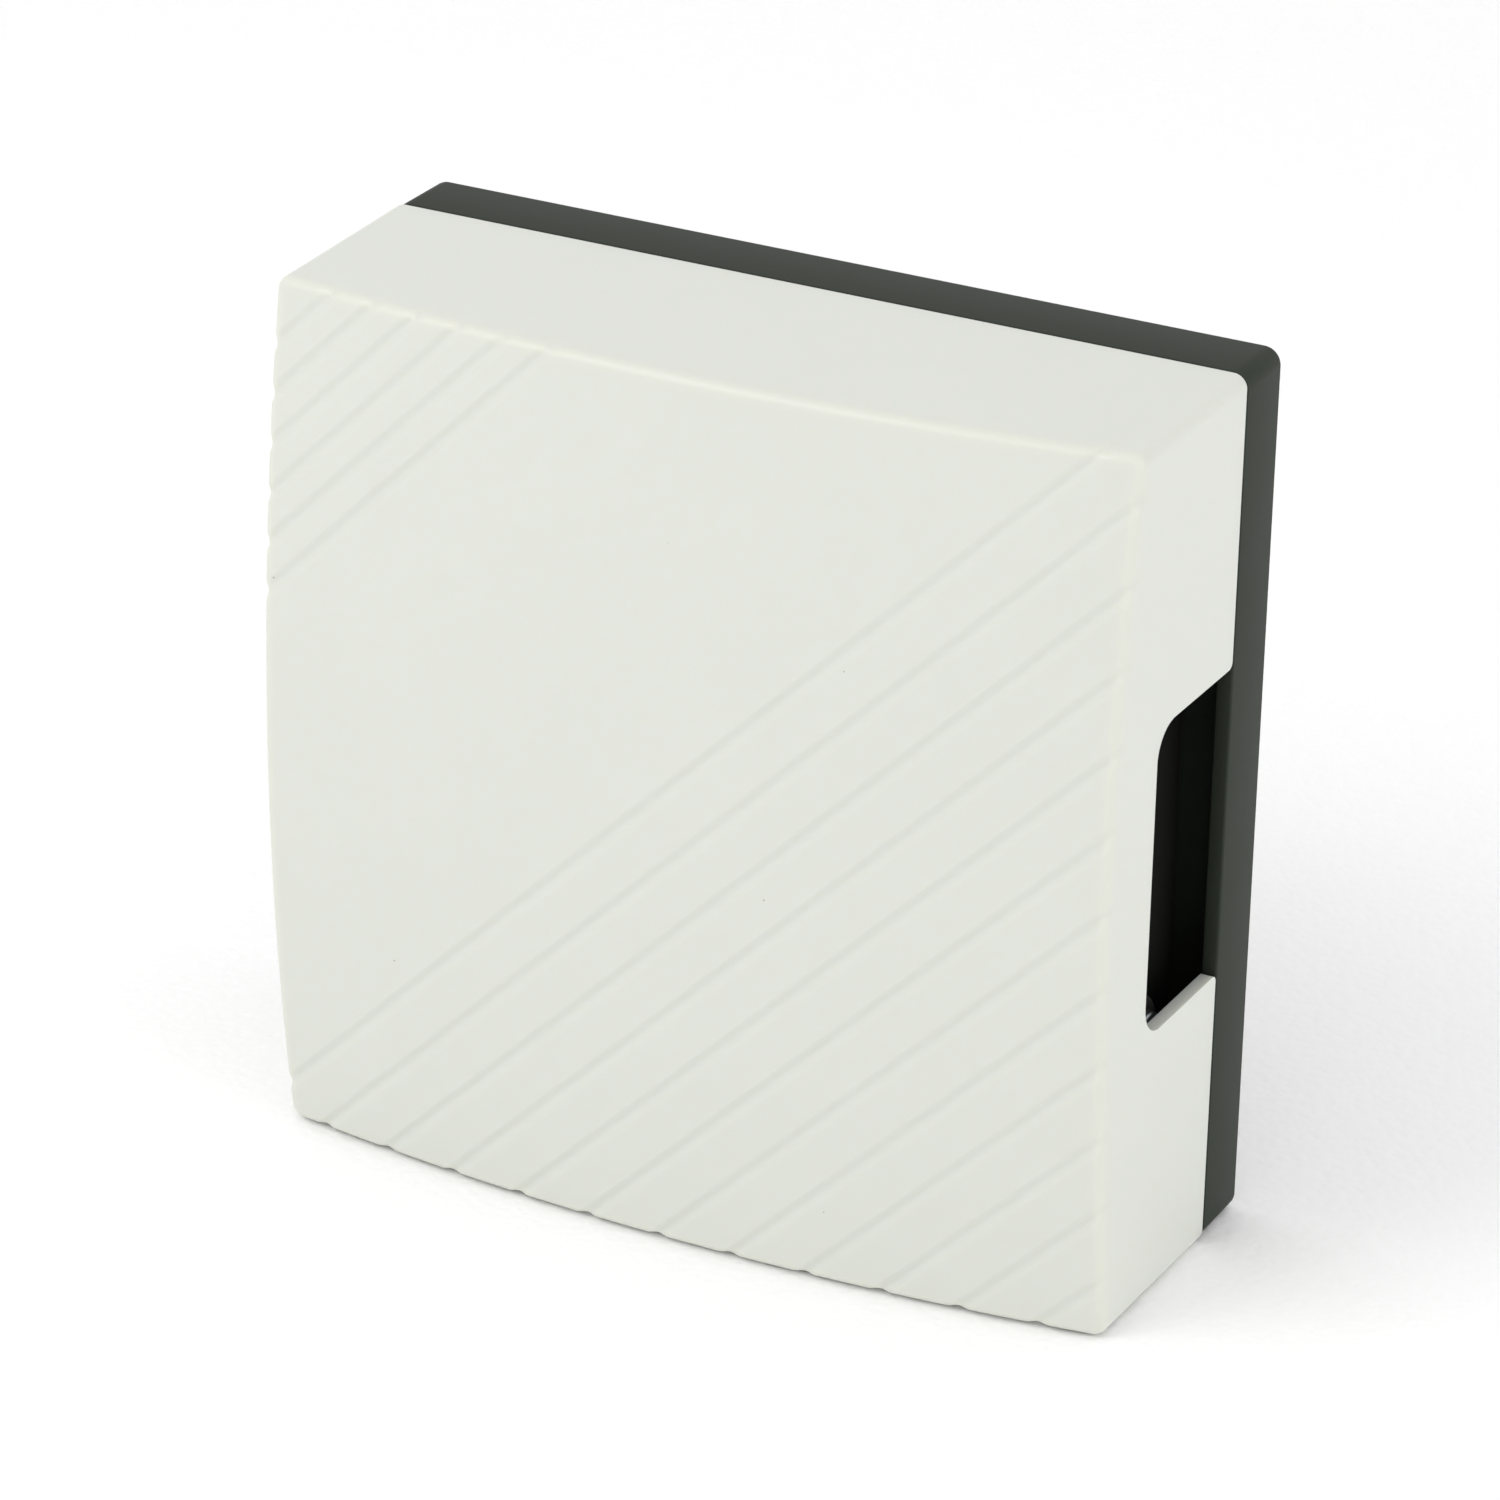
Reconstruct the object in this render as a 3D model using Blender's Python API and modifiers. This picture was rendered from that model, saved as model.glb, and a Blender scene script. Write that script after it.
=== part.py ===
"""A wired two-note door chime: a square wall box with a ribbed, crowned cover over a dark base.

A push at the door energises a solenoid, whose plunger strikes the right tone bar ("ding"). When the
push is let go, a spring throws the plunger back onto the left tone bar ("dong").

The frame is in metres. +Z is up and the front faces -Y. The origin is the middle of the back face,
which lies on the wall. Every piece is one named object.
"""

import math

import bmesh
import bpy
from mathutils import Matrix, Vector

mm = 0.001

# ---- Driving dimensions -------------------------------------------------------------------------

FIT_GAP = 0.3 * mm  # between pieces that touch
CASE_WIDTH = 130.0 * mm  # the case is square on the wall

# Base tray
BASE_DEPTH = 11.5 * mm
BASE_WALL = 2.4 * mm
BASE_CORNER_RADIUS = 2.5 * mm
BASE_BACK_EDGE_RADIUS = 1.0 * mm

# Cover
COVER_DEPTH = 31.7 * mm  # from the seam to the front corners
COVER_WALL = 2.0 * mm
COVER_DRAFT = 0.4 * mm  # how far each side leans in by the front
COVER_EDGE_RADIUS = 1.2 * mm
COVER_CORNER_RADIUS = 2.0 * mm
EDGE_CROWN = 5.4 * mm  # how far the middle of each front edge stands ahead of its corners
CENTRE_CROWN = 8.0 * mm  # the same for the middle of the front
COVER_CELLS = 10  # facets across the crowned front

# Grooves across the front, all at 45 degrees, counted from the two opposite corners inwards
GROOVE_WIDTH = 2.0 * mm
GROOVE_DEPTH = 0.35 * mm
GROOVE_TO_CORNER = 6.9 * mm  # from the corner to the first groove
UPPER_GROOVES = 6
UPPER_GROOVE_PITCH = 5.0 * mm
LOWER_GROOVES = 12
LOWER_GROOVE_PITCH = 8.03 * mm

# Sound windows, one in each side wall, open towards the base
WINDOW_HEIGHT = 46.0 * mm
WINDOW_DEPTH = 23.3 * mm
WINDOW_RADIUS = 5.0 * mm

# Cover lugs on the base, two at the top and two at the bottom
LUG_X = 36.0 * mm
LUG_WIDTH = 16.0 * mm
LUG_THICKNESS = 2.2 * mm
LUG_REACH = 6.5 * mm  # past the seam
BEAD_PROUD = 0.6 * mm
GUIDE_RIB = 1.2 * mm

# Wall fixings and cable entry, all through the back
KEYHOLE_X = 30.15 * mm
KEYHOLE_Z = 38.0 * mm
KEYHOLE_HEAD_RADIUS = 4.5 * mm
KEYHOLE_SLOT_WIDTH = 4.8 * mm
KEYHOLE_SLOT_RISE = 9.0 * mm
KEYHOLE_PAD_MARGIN = 3.5 * mm
KEYHOLE_PAD_RISE = 1.0 * mm
CABLE_ENTRY_WIDTH = 24.0 * mm
CABLE_ENTRY_HEIGHT = 11.0 * mm
CABLE_ENTRY_TO_EDGE = 12.5 * mm  # from its middle to the lower edge
CABLE_ENTRY_RADIUS = 3.0 * mm

# Tone bars, which hang edge-on to the wall behind the windows
BAR_THICKNESS = 2.5 * mm
BAR_WIDTH = 28.0 * mm
BAR_TO_EDGE = 7.0 * mm  # from the low bar's ends to the case's edges
NOTE_RATIO = 5 / 4  # the high note is a major third above the low one
NODE_SHARE = 0.224  # a free bar's still points lie this share of its length from its ends
BAR_HOLE_RADIUS = 4.0 * mm

# Grommets and shoulder screws that carry the bars
GROMMET_BORE_RADIUS = 2.2 * mm
GROMMET_FLANGE_RADIUS = 5.5 * mm
GROMMET_FLANGE = 1.8 * mm
BAR_SCREW_HEAD_RADIUS = 3.6 * mm
BAR_SCREW_HEAD = 1.8 * mm
BAR_SCREW_TO_COVER = 1.4 * mm
THREAD_RADIUS = 1.3 * mm
PILOT_RADIUS = THREAD_RADIUS + FIT_GAP
POST_THICKNESS = 9.0 * mm
POST_HEIGHT = 10.0 * mm
POST_ABOVE_AXIS = 6.0 * mm

# Solenoid, on the strike axis
TUBE_BORE_RADIUS = 4.9 * mm
TUBE_WALL = 0.5 * mm
TUBE_LENGTH = 44.0 * mm
FRAME_SHEET = 1.6 * mm
FRAME_INNER_LENGTH = 38.0 * mm
FRAME_BEND_RADIUS = 1.2 * mm
FRAME_EAR_TO_SCREW = 5.0 * mm
FRAME_EAR_END = 4.5 * mm  # past the screw
FRAME_EAR_WIDTH = 16.0 * mm
BOBBIN_WALL = 1.0 * mm
BOBBIN_FLANGE = 1.5 * mm
BOBBIN_FLANGE_PROUD = 0.9 * mm  # past the tape
WINDING_RADIUS = 11.4 * mm
TAPE_THICKNESS = 0.4 * mm
TAPE_LENGTH = 28.0 * mm
FRAME_BOSS_RADIUS = 4.0 * mm
FRAME_SCREW_HEAD_RADIUS = 3.5 * mm
FRAME_SCREW_HEAD = 2.2 * mm

# Plunger, which slides in the guide tube
CORE_LEFT_X = -36.0 * mm
CORE_RIGHT_X = 6.0 * mm
STRIKE_TRAVEL = 7.0 * mm  # to the right bar
REBOUND_TRAVEL = 4.0 * mm  # to the left bar
STRIKER_RADIUS = 2.6 * mm
SPIGOT_RADIUS = 1.7 * mm
SPIGOT_LENGTH = 4.5 * mm
CLIP_X = -33.0 * mm
CLIP_THICKNESS = 0.8 * mm
CLIP_SEAT_DEPTH = 1.0 * mm
CLIP_PAST_SPRING = 0.6 * mm
CLIP_MOUTH = 5.0 * mm
SPRING_WIRE_RADIUS = 0.25 * mm
SPRING_TURNS = 5

# Terminal block, between the solenoid and the cable entry
TERMINAL_TO_ENTRY = 15.5 * mm
TERMINAL_PITCH = 18.0 * mm
TERMINAL_BODY = Vector((32.0, 9.5, 13.0)) * mm
TERMINAL_PAD_RISE = 3.0 * mm
TERMINAL_PAD_INSET = 4.0 * mm
TERMINAL_CORNER_RADIUS = 1.0 * mm
WAY_WIDTH = 9.0 * mm
WAY_DEPTH = 5.2 * mm
WELL_DEPTH = 3.2 * mm  # below the way's floor
CONTACT_THICKNESS = 0.8 * mm
CONTACT_TAG_RISE = 4.0 * mm
CONTACT_TAG_WIDTH = 4.2 * mm
CLAMP_SIDE = 7.0 * mm
CLAMP_THICKNESS = 1.0 * mm
TERMINAL_SCREW_RADIUS = 1.4 * mm
TERMINAL_HEAD_RADIUS = 2.9 * mm
TERMINAL_HEAD = 1.9 * mm
BLOCK_SCREW_RADIUS = 1.0 * mm
BLOCK_SCREW_HEAD_RADIUS = 2.6 * mm
BLOCK_SCREW_HEAD = 1.6 * mm
LEAD_RADIUS = 0.5 * mm

# Driver slots in all the screws
SLOT_WIDTH = 0.8 * mm
SLOT_DEPTH_SHARE = 0.5  # of the head

# Fineness of the round pieces
FINE_STEPS = 32
ROUND_STEPS = 24
SMALL_STEPS = 16
SPRING_STEPS = 12  # to each turn

# ---- Sizes that follow ---------------------------------------------------------------------------

HALF = CASE_WIDTH / 2
FRONT_HALF = HALF - COVER_DRAFT
SEAM_Y = -BASE_DEPTH
COVER_BACK_Y = SEAM_Y - FIT_GAP
COVER_CORNER_Y = SEAM_Y - COVER_DEPTH
GROOVE_OUTERMOST = math.sqrt(2) * FRONT_HALF - GROOVE_TO_CORNER
LUG_TIP_Y = SEAM_Y - LUG_REACH
LUG_OUTER_Z = HALF - COVER_DRAFT * LUG_REACH / COVER_DEPTH - COVER_WALL - FIT_GAP - BEAD_PROUD
STRIKE_Y = SEAM_Y - WINDOW_DEPTH / 2  # the plunger and both bars line up with the windows' middle
FLOOR_Y = -BASE_WALL  # front of the base's back plate
BURIED_Y = -BASE_WALL / 2  # where a post ends inside the back plate
PAST = 5.0 * mm  # how far a cutter runs out of what it cuts

COVER_INNER_X = HALF - COVER_DRAFT - COVER_WALL
BAR_OUTER_X = COVER_INNER_X - BAR_SCREW_TO_COVER - BAR_SCREW_HEAD - GROMMET_FLANGE - 2 * FIT_GAP
BAR_INNER_X = BAR_OUTER_X - BAR_THICKNESS
LOW_BAR_LENGTH = CASE_WIDTH - 2 * BAR_TO_EDGE
HIGH_BAR_LENGTH = LOW_BAR_LENGTH / math.sqrt(NOTE_RATIO)
POST_FACE_X = BAR_INNER_X - GROMMET_FLANGE - 2 * FIT_GAP
FRAME_END_X = FRAME_INNER_LENGTH / 2
FRAME_OUTER_X = FRAME_END_X + FRAME_SHEET
TAPE_RADIUS = WINDING_RADIUS + FIT_GAP + TAPE_THICKNESS
BOBBIN_FLANGE_RADIUS = TAPE_RADIUS + BOBBIN_FLANGE_PROUD
FRAME_EAR_Z = BOBBIN_FLANGE_RADIUS + FRAME_EAR_TO_SCREW
WEB_FRONT_Y = STRIKE_Y + BOBBIN_FLANGE_RADIUS + 2 * FIT_GAP
WEB_BACK_Y = WEB_FRONT_Y + FRAME_SHEET
TUBE_RADIUS = TUBE_BORE_RADIUS + TUBE_WALL
BOBBIN_BORE_RADIUS = TUBE_RADIUS + FIT_GAP
BOBBIN_END_X = FRAME_END_X - FIT_GAP
WINDING_END_X = BOBBIN_END_X - BOBBIN_FLANGE - FIT_GAP
CORE_RADIUS = TUBE_BORE_RADIUS - FIT_GAP
CLIP_SEAT_RADIUS = CORE_RADIUS - CLIP_SEAT_DEPTH
SPRING_RADIUS = TUBE_RADIUS + FIT_GAP + SPRING_WIRE_RADIUS
CLIP_RADIUS = SPRING_RADIUS + SPRING_WIRE_RADIUS + CLIP_PAST_SPRING
CABLE_ENTRY_Z = -HALF + CABLE_ENTRY_TO_EDGE
TERMINAL_Z = CABLE_ENTRY_Z + TERMINAL_TO_ENTRY
PAD_Y = FLOOR_Y - TERMINAL_PAD_RISE
BLOCK_BACK_Y = PAD_Y - FIT_GAP
BLOCK_FRONT_Y = BLOCK_BACK_Y - TERMINAL_BODY.y
WAY_FLOOR_Y = BLOCK_FRONT_Y + WAY_DEPTH
CONTACT_Y = WAY_FLOOR_Y - FIT_GAP  # back of each contact plate
CLAMP_Y = CONTACT_Y - CONTACT_THICKNESS - FIT_GAP  # back of each clamp washer
TAG_LOW_Z = TERMINAL_Z + TERMINAL_BODY.z / 2 + FIT_GAP
TAG_HIGH_Z = TAG_LOW_Z + CONTACT_THICKNESS


def cover_front_depth(x, z):
    """How far the cover's front stands from the wall: crowned both ways, and lowest at its corners."""
    across = 1 - (x / FRONT_HALF) ** 2
    up = 1 - (z / FRONT_HALF) ** 2
    flattened = 2 * EDGE_CROWN - CENTRE_CROWN
    return BASE_DEPTH + COVER_DEPTH + EDGE_CROWN * (across + up) - flattened * across * up


# ---- Scene, collections and materials ------------------------------------------------------------

for old in list(bpy.data.objects):
    bpy.data.objects.remove(old)


def new_collection(name):
    made = bpy.data.collections.new(name)
    bpy.context.scene.collection.children.link(made)
    return made


PARTS = new_collection("door_chime")
HELPERS = new_collection("cutters")


def new_material(name, colour, roughness, metallic=0.0):
    made = bpy.data.materials.new(name)
    made.use_nodes = True
    shader = made.node_tree.nodes["Principled BSDF"]
    shader.inputs["Base Color"].default_value = (*colour, 1.0)
    shader.inputs["Roughness"].default_value = roughness
    shader.inputs["Metallic"].default_value = metallic
    return made


WHITE_ABS = new_material("white_abs", (0.79, 0.80, 0.73), 0.45)
GREY_ABS = new_material("grey_abs", (0.050, 0.058, 0.048), 0.5)
BLACK_STEEL = new_material("blackened_steel", (0.02, 0.02, 0.02), 0.5, 0.6)
ZINC_STEEL = new_material("zinc_plated_steel", (0.62, 0.63, 0.65), 0.35, 1.0)
SPRING_STEEL = new_material("spring_steel", (0.45, 0.45, 0.47), 0.3, 1.0)
BRASS = new_material("brass", (0.70, 0.52, 0.22), 0.3, 1.0)
COPPER = new_material("enamelled_copper", (0.50, 0.18, 0.07), 0.35, 0.8)
NYLON = new_material("natural_nylon", (0.78, 0.76, 0.68), 0.5)
TAPE = new_material("polyester_tape", (0.70, 0.48, 0.06), 0.3)
RUBBER = new_material("black_rubber", (0.015, 0.015, 0.015), 0.85)
PHENOLIC = new_material("brown_phenolic", (0.045, 0.025, 0.015), 0.5)
SLEEVING = new_material("red_sleeving", (0.45, 0.03, 0.02), 0.5)


# ---- Making solids -------------------------------------------------------------------------------


def place(name, data, material=None):
    """Puts mesh or curve data in the scene, as a part where it has a material and as a helper if not."""
    made = bpy.data.objects.new(name, data)
    if material is None:
        HELPERS.objects.link(made)
        made.hide_render = True
        made.display_type = "WIRE"
    else:
        PARTS.objects.link(made)
        data.materials.append(material)
    return made


def mesh_from(name, bm):
    mesh = bpy.data.meshes.new(name)
    bm.to_mesh(mesh)
    bm.free()
    return mesh


def block(name, low, high, material=None):
    """A box from its lowest to its highest corner, with its origin at its centre."""
    low = Vector(low)
    high = Vector(high)
    bm = bmesh.new()
    bmesh.ops.create_cube(bm, size=1.0)
    bmesh.ops.scale(bm, vec=high - low, verts=bm.verts)
    made = place(name, mesh_from(name, bm), material)
    made.location = (low + high) / 2
    return made


AXIS_TURN = {
    "X": Matrix.Rotation(math.pi / 2, 4, "Y"),  # local +Z points along +X
    "-X": Matrix.Rotation(-math.pi / 2, 4, "Y"),
    "-Y": Matrix.Rotation(math.pi / 2, 4, "X"),  # local +Z points to the front
}


def rod(name, radius, start, length, axis, material=None, steps=SMALL_STEPS):
    """A cylinder from start, running its length along axis."""
    bm = bmesh.new()
    bmesh.ops.create_cone(
        bm, cap_ends=True, segments=steps, radius1=radius, radius2=radius, depth=length
    )
    bmesh.ops.translate(bm, vec=(0, 0, length / 2), verts=bm.verts)
    made = place(name, mesh_from(name, bm), material)
    made.matrix_world = Matrix.Translation(start) @ AXIS_TURN[axis]
    return made


def turned(name, profile, start, axis, material, closed=True, steps=ROUND_STEPS):
    """A turned piece. The profile's (radius, height) points run down its outer side."""
    mesh = bpy.data.meshes.new(name)
    count = len(profile)
    edges = [(i, (i + 1) % count) for i in range(count if closed else count - 1)]
    mesh.from_pydata([(radius, 0, height) for radius, height in profile], edges, [])
    made = place(name, mesh, material)
    made.matrix_world = Matrix.Translation(start) @ AXIS_TURN[axis]
    screw = made.modifiers.new("turn", "SCREW")
    screw.steps = steps
    screw.render_steps = steps
    screw.use_merge_vertices = True
    screw.merge_threshold = 0.01 * mm
    screw.use_smooth_shade = True
    return made


def boolean(target, helper, operation):
    modifier = target.modifiers.new(helper.name, "BOOLEAN")
    modifier.operation = operation
    modifier.object = helper
    modifier.solver = "EXACT"


def cut(target, *helpers):
    for helper in helpers:
        boolean(target, helper, "DIFFERENCE")


def join(target, *helpers):
    for helper in helpers:
        boolean(target, helper, "UNION")


def bevel_edges(bm, edges, radius, segments):
    bmesh.ops.bevel(
        bm,
        geom=list(edges),
        offset=radius,
        segments=segments,
        profile=0.5,
        affect="EDGES",
        clamp_overlap=True,
    )


def is_along(edge, direction):
    """Whether an edge runs along X, Y or Z, given as 0, 1 or 2."""
    along = (edge.verts[0].co - edge.verts[1].co).normalized()
    return abs(along[direction]) > 0.99


def rounded_block(name, low, high, radius, direction, material=None):
    """A box with its four edges along one direction rounded."""
    made = block(name, low, high, material)
    bm = bmesh.new()
    bm.from_mesh(made.data)
    bevel_edges(bm, [edge for edge in bm.edges if is_along(edge, direction)], radius, 4)
    bm.to_mesh(made.data)
    bm.free()
    return made


def mesh_of_curve(curve_object):
    """The closed mesh of a curve, in place of the curve, so that a Boolean can use it."""
    graph = bpy.context.evaluated_depsgraph_get()
    mesh = bpy.data.meshes.new_from_object(curve_object.evaluated_get(graph))
    bm = bmesh.new()
    bm.from_mesh(mesh)
    bmesh.ops.remove_doubles(bm, verts=bm.verts, dist=0.001 * mm)
    bm.to_mesh(mesh)
    bm.free()
    name = curve_object.name
    matrix = curve_object.matrix_world.copy()
    bpy.data.objects.remove(curve_object)
    made = place(name, mesh)
    made.matrix_world = matrix
    return made


def wire(name, routes, radius, material=None, resolution=2):
    """A round wire along each route, as one curve object."""
    curve = bpy.data.curves.new(name, "CURVE")
    curve.dimensions = "3D"
    curve.bevel_depth = radius
    curve.bevel_resolution = resolution
    curve.use_fill_caps = True
    for route in routes:
        spline = curve.splines.new("POLY")
        spline.points.add(len(route) - 1)
        for point, where in zip(spline.points, route):
            point.co = (*where, 1.0)
    return place(name, curve, material)


# ---- Front cover ---------------------------------------------------------------------------------


def cover_form(inset, back_y):
    """A closed form between a crowned front and four drafted sides, all set in from the cover's outside."""
    bm = bmesh.new()
    bmesh.ops.create_grid(
        bm, x_segments=COVER_CELLS, y_segments=COVER_CELLS, size=FRONT_HALF - inset
    )
    bmesh.ops.rotate(bm, matrix=Matrix.Rotation(math.pi / 2, 3, "X"), verts=bm.verts)
    for vert in bm.verts:
        vert.co.y = inset - cover_front_depth(vert.co.x, vert.co.z)
    rim = [edge for edge in bm.edges if edge.is_boundary]
    sides = bmesh.ops.extrude_edge_only(bm, edges=rim)["geom"]
    for vert in [item for item in sides if isinstance(item, bmesh.types.BMVert)]:
        vert.co.y = back_y
        vert.co.x *= (HALF - inset) / (FRONT_HALF - inset)
        vert.co.z *= (HALF - inset) / (FRONT_HALF - inset)
    bmesh.ops.edgeloop_fill(bm, edges=[edge for edge in bm.edges if edge.is_boundary])
    bmesh.ops.recalc_face_normals(bm, faces=bm.faces)
    return bm


def rounded_cover_form():
    """The cover's outside, with its four corners and its front edges rounded."""
    bm = cover_form(0, COVER_BACK_Y)

    def is_sharp_and_forward(edge):
        reaches_front = min(vert.co.y for vert in edge.verts) < COVER_BACK_Y - COVER_EDGE_RADIUS
        return reaches_front and edge.calc_face_angle() > math.radians(45)

    corners = [edge for edge in bm.edges if is_sharp_and_forward(edge) and is_along(edge, 1)]
    bevel_edges(bm, corners, COVER_CORNER_RADIUS, 3)
    front = [edge for edge in bm.edges if is_sharp_and_forward(edge) and not is_along(edge, 1)]
    bevel_edges(bm, front, COVER_EDGE_RADIUS, 2)
    return bm


def groove_offsets():
    """Signed distances of the grooves from the rising diagonal: upper ones positive, lower negative."""
    upper = [GROOVE_OUTERMOST - i * UPPER_GROOVE_PITCH for i in range(UPPER_GROOVES)]
    lower = [-GROOVE_OUTERMOST + i * LOWER_GROOVE_PITCH for i in range(LOWER_GROOVES)]
    return upper + lower


def groove_cutter():
    """One round-bottomed cutter along each groove, which follows the crown."""
    radius = (GROOVE_WIDTH**2 / 4 + GROOVE_DEPTH**2) / (2 * GROOVE_DEPTH)
    above = radius - GROOVE_DEPTH
    spacing = 2 * FRONT_HALF / COVER_CELLS
    overrun = COVER_EDGE_RADIUS
    routes = []
    for offset in groove_offsets():
        reach = math.sqrt(2) * (FRONT_HALF + overrun) - abs(offset)
        count = max(3, round(2 * reach / spacing) + 1)
        route = []
        for i in range(count):
            along = reach * (2 * i / (count - 1) - 1)
            x = (along - offset) / math.sqrt(2)
            z = (along + offset) / math.sqrt(2)
            route.append((x, -cover_front_depth(x, z) - above, z))
        routes.append(route)
    return mesh_of_curve(wire("groove_cutter", routes, radius))


def make_cover():
    cover = place("front_cover", mesh_from("front_cover", rounded_cover_form()), WHITE_ABS)
    cavity = cover_form(COVER_WALL, COVER_BACK_Y + PAST)
    cut(cover, place("cover_cavity", mesh_from("cover_cavity", cavity)))
    for side in (-1, 1):
        for edge in (-1, 1):
            for flank in (-1, 1):
                x = side * LUG_X + flank * (LUG_WIDTH / 2 + FIT_GAP + GUIDE_RIB / 2)
                inner = edge * (HALF - COVER_WALL - GUIDE_RIB)
                outer = edge * (HALF - COVER_WALL / 2 - COVER_DRAFT)
                rib = block(
                    f"guide_rib_{side}_{edge}_{flank}",
                    (x - GUIDE_RIB / 2, COVER_BACK_Y - 2 * LUG_REACH, min(inner, outer)),
                    (x + GUIDE_RIB / 2, COVER_BACK_Y - GUIDE_RIB, max(inner, outer)),
                )
                join(cover, rib)
    windows = rounded_block(
        "window_cutter",
        (-HALF - PAST, SEAM_Y - WINDOW_DEPTH, -WINDOW_HEIGHT / 2),
        (HALF + PAST, COVER_BACK_Y + PAST + WINDOW_RADIUS, WINDOW_HEIGHT / 2),
        WINDOW_RADIUS,
        0,
    )
    cut(cover, windows, groove_cutter())
    return cover


# ---- Base tray -----------------------------------------------------------------------------------


def bar_node_z(length):
    """Height of a bar's upper still point, where it is held."""
    return length * (0.5 - NODE_SHARE)


# side: the sign of X. The right bar gives the high note and the left the low one.
BARS = {"right": (1, HIGH_BAR_LENGTH), "left": (-1, LOW_BAR_LENGTH)}


def rounded_tray_form():
    """The tray's outside, with its four corners and its back edges rounded."""
    bm = bmesh.new()
    bmesh.ops.create_cube(bm, size=1.0)
    bmesh.ops.scale(bm, vec=(CASE_WIDTH, BASE_DEPTH, CASE_WIDTH), verts=bm.verts)
    bmesh.ops.translate(bm, vec=(0, -BASE_DEPTH / 2, 0), verts=bm.verts)
    bevel_edges(bm, [e for e in bm.edges if is_along(e, 1)], BASE_CORNER_RADIUS, 4)
    back = [
        edge
        for edge in bm.edges
        if max(abs(vert.co.y) for vert in edge.verts) < BASE_BACK_EDGE_RADIUS
    ]
    bevel_edges(bm, back, BASE_BACK_EDGE_RADIUS, 3)
    return bm


def cover_lugs():
    """Four tabs that stand inside the cover's rim, each with a bead that grips it."""
    helpers = []
    for side in (-1, 1):
        for edge in (-1, 1):
            faces = sorted((edge * LUG_OUTER_Z, edge * (LUG_OUTER_Z - LUG_THICKNESS)))
            left = side * LUG_X - LUG_WIDTH / 2
            tab = block(
                f"lug_{side}_{edge}",
                (left, LUG_TIP_Y, faces[0]),
                (left + LUG_WIDTH, BURIED_Y, faces[1]),
            )
            bead_radius = 2 * BEAD_PROUD
            bead_z = LUG_OUTER_Z + BEAD_PROUD - bead_radius
            bead = rod(
                f"lug_bead_{side}_{edge}",
                bead_radius,
                (left + BEAD_PROUD, LUG_TIP_Y + 2 * bead_radius, edge * bead_z),
                LUG_WIDTH - 2 * BEAD_PROUD,
                "X",
            )
            helpers += [tab, bead]
    return helpers


def bar_posts():
    """Four posts that the tone bars' screws go into, and the hole in each."""
    posts = []
    holes = []
    for name, (side, length) in BARS.items():
        for end in (-1, 1):
            z = end * bar_node_z(length)
            inner = side * (POST_FACE_X - POST_THICKNESS)
            outer = side * POST_FACE_X
            posts.append(
                block(
                    f"post_{name}_{end}",
                    (min(inner, outer), STRIKE_Y - POST_ABOVE_AXIS, z - POST_HEIGHT / 2),
                    (max(inner, outer), BURIED_Y, z + POST_HEIGHT / 2),
                )
            )
            start = (min(inner, outer) - PAST, STRIKE_Y, z)
            through = POST_THICKNESS + 2 * PAST
            holes.append(rod(f"post_hole_{name}_{end}", PILOT_RADIUS, start, through, "X"))
    return posts, holes


def frame_bosses():
    """Two bosses that the solenoid's screws go into, and the blind hole in each."""
    bosses = []
    holes = []
    for end in (-1, 1):
        z = end * FRAME_EAR_Z
        face_y = WEB_BACK_Y + FIT_GAP
        bosses.append(
            rod(f"boss_{end}", FRAME_BOSS_RADIUS, (0, BURIED_Y, z), BURIED_Y - face_y, "-Y")
        )
        holes.append(
            rod(
                f"boss_hole_{end}",
                PILOT_RADIUS,
                (0, FLOOR_Y + FIT_GAP, z),
                FLOOR_Y + FIT_GAP - face_y + PAST,
                "-Y",
            )
        )
    return bosses, holes


def terminal_pad():
    """The raised pad under the terminal block, and the blind hole for its screw."""
    half_x = TERMINAL_BODY.x / 2 - TERMINAL_PAD_INSET
    half_z = TERMINAL_BODY.z / 2 - TERMINAL_PAD_INSET / 2
    pad = block(
        "terminal_pad",
        (-half_x, PAD_Y, TERMINAL_Z - half_z),
        (half_x, BURIED_Y, TERMINAL_Z + half_z),
    )
    hole = rod(
        "terminal_pad_hole",
        BLOCK_SCREW_RADIUS + FIT_GAP,
        (0, BURIED_Y, TERMINAL_Z),
        BURIED_Y - PAD_Y + PAST,
        "-Y",
    )
    return pad, hole


def keyhole_pads():
    """A raised flat seat round each keyhole, for the head of its wall screw."""
    pads = []
    for side, name in ((-1, "left"), (1, "right")):
        x = side * KEYHOLE_X
        bottom = KEYHOLE_Z - KEYHOLE_HEAD_RADIUS - KEYHOLE_PAD_MARGIN
        top = KEYHOLE_Z + KEYHOLE_SLOT_RISE + KEYHOLE_PAD_MARGIN
        half = KEYHOLE_HEAD_RADIUS + KEYHOLE_PAD_MARGIN
        pads.append(
            rounded_block(
                f"keyhole_pad_{name}",
                (x - half, FLOOR_Y - KEYHOLE_PAD_RISE, bottom),
                (x + half, BURIED_Y, top),
                KEYHOLE_PAD_MARGIN,
                1,
            )
        )
    return pads


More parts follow.
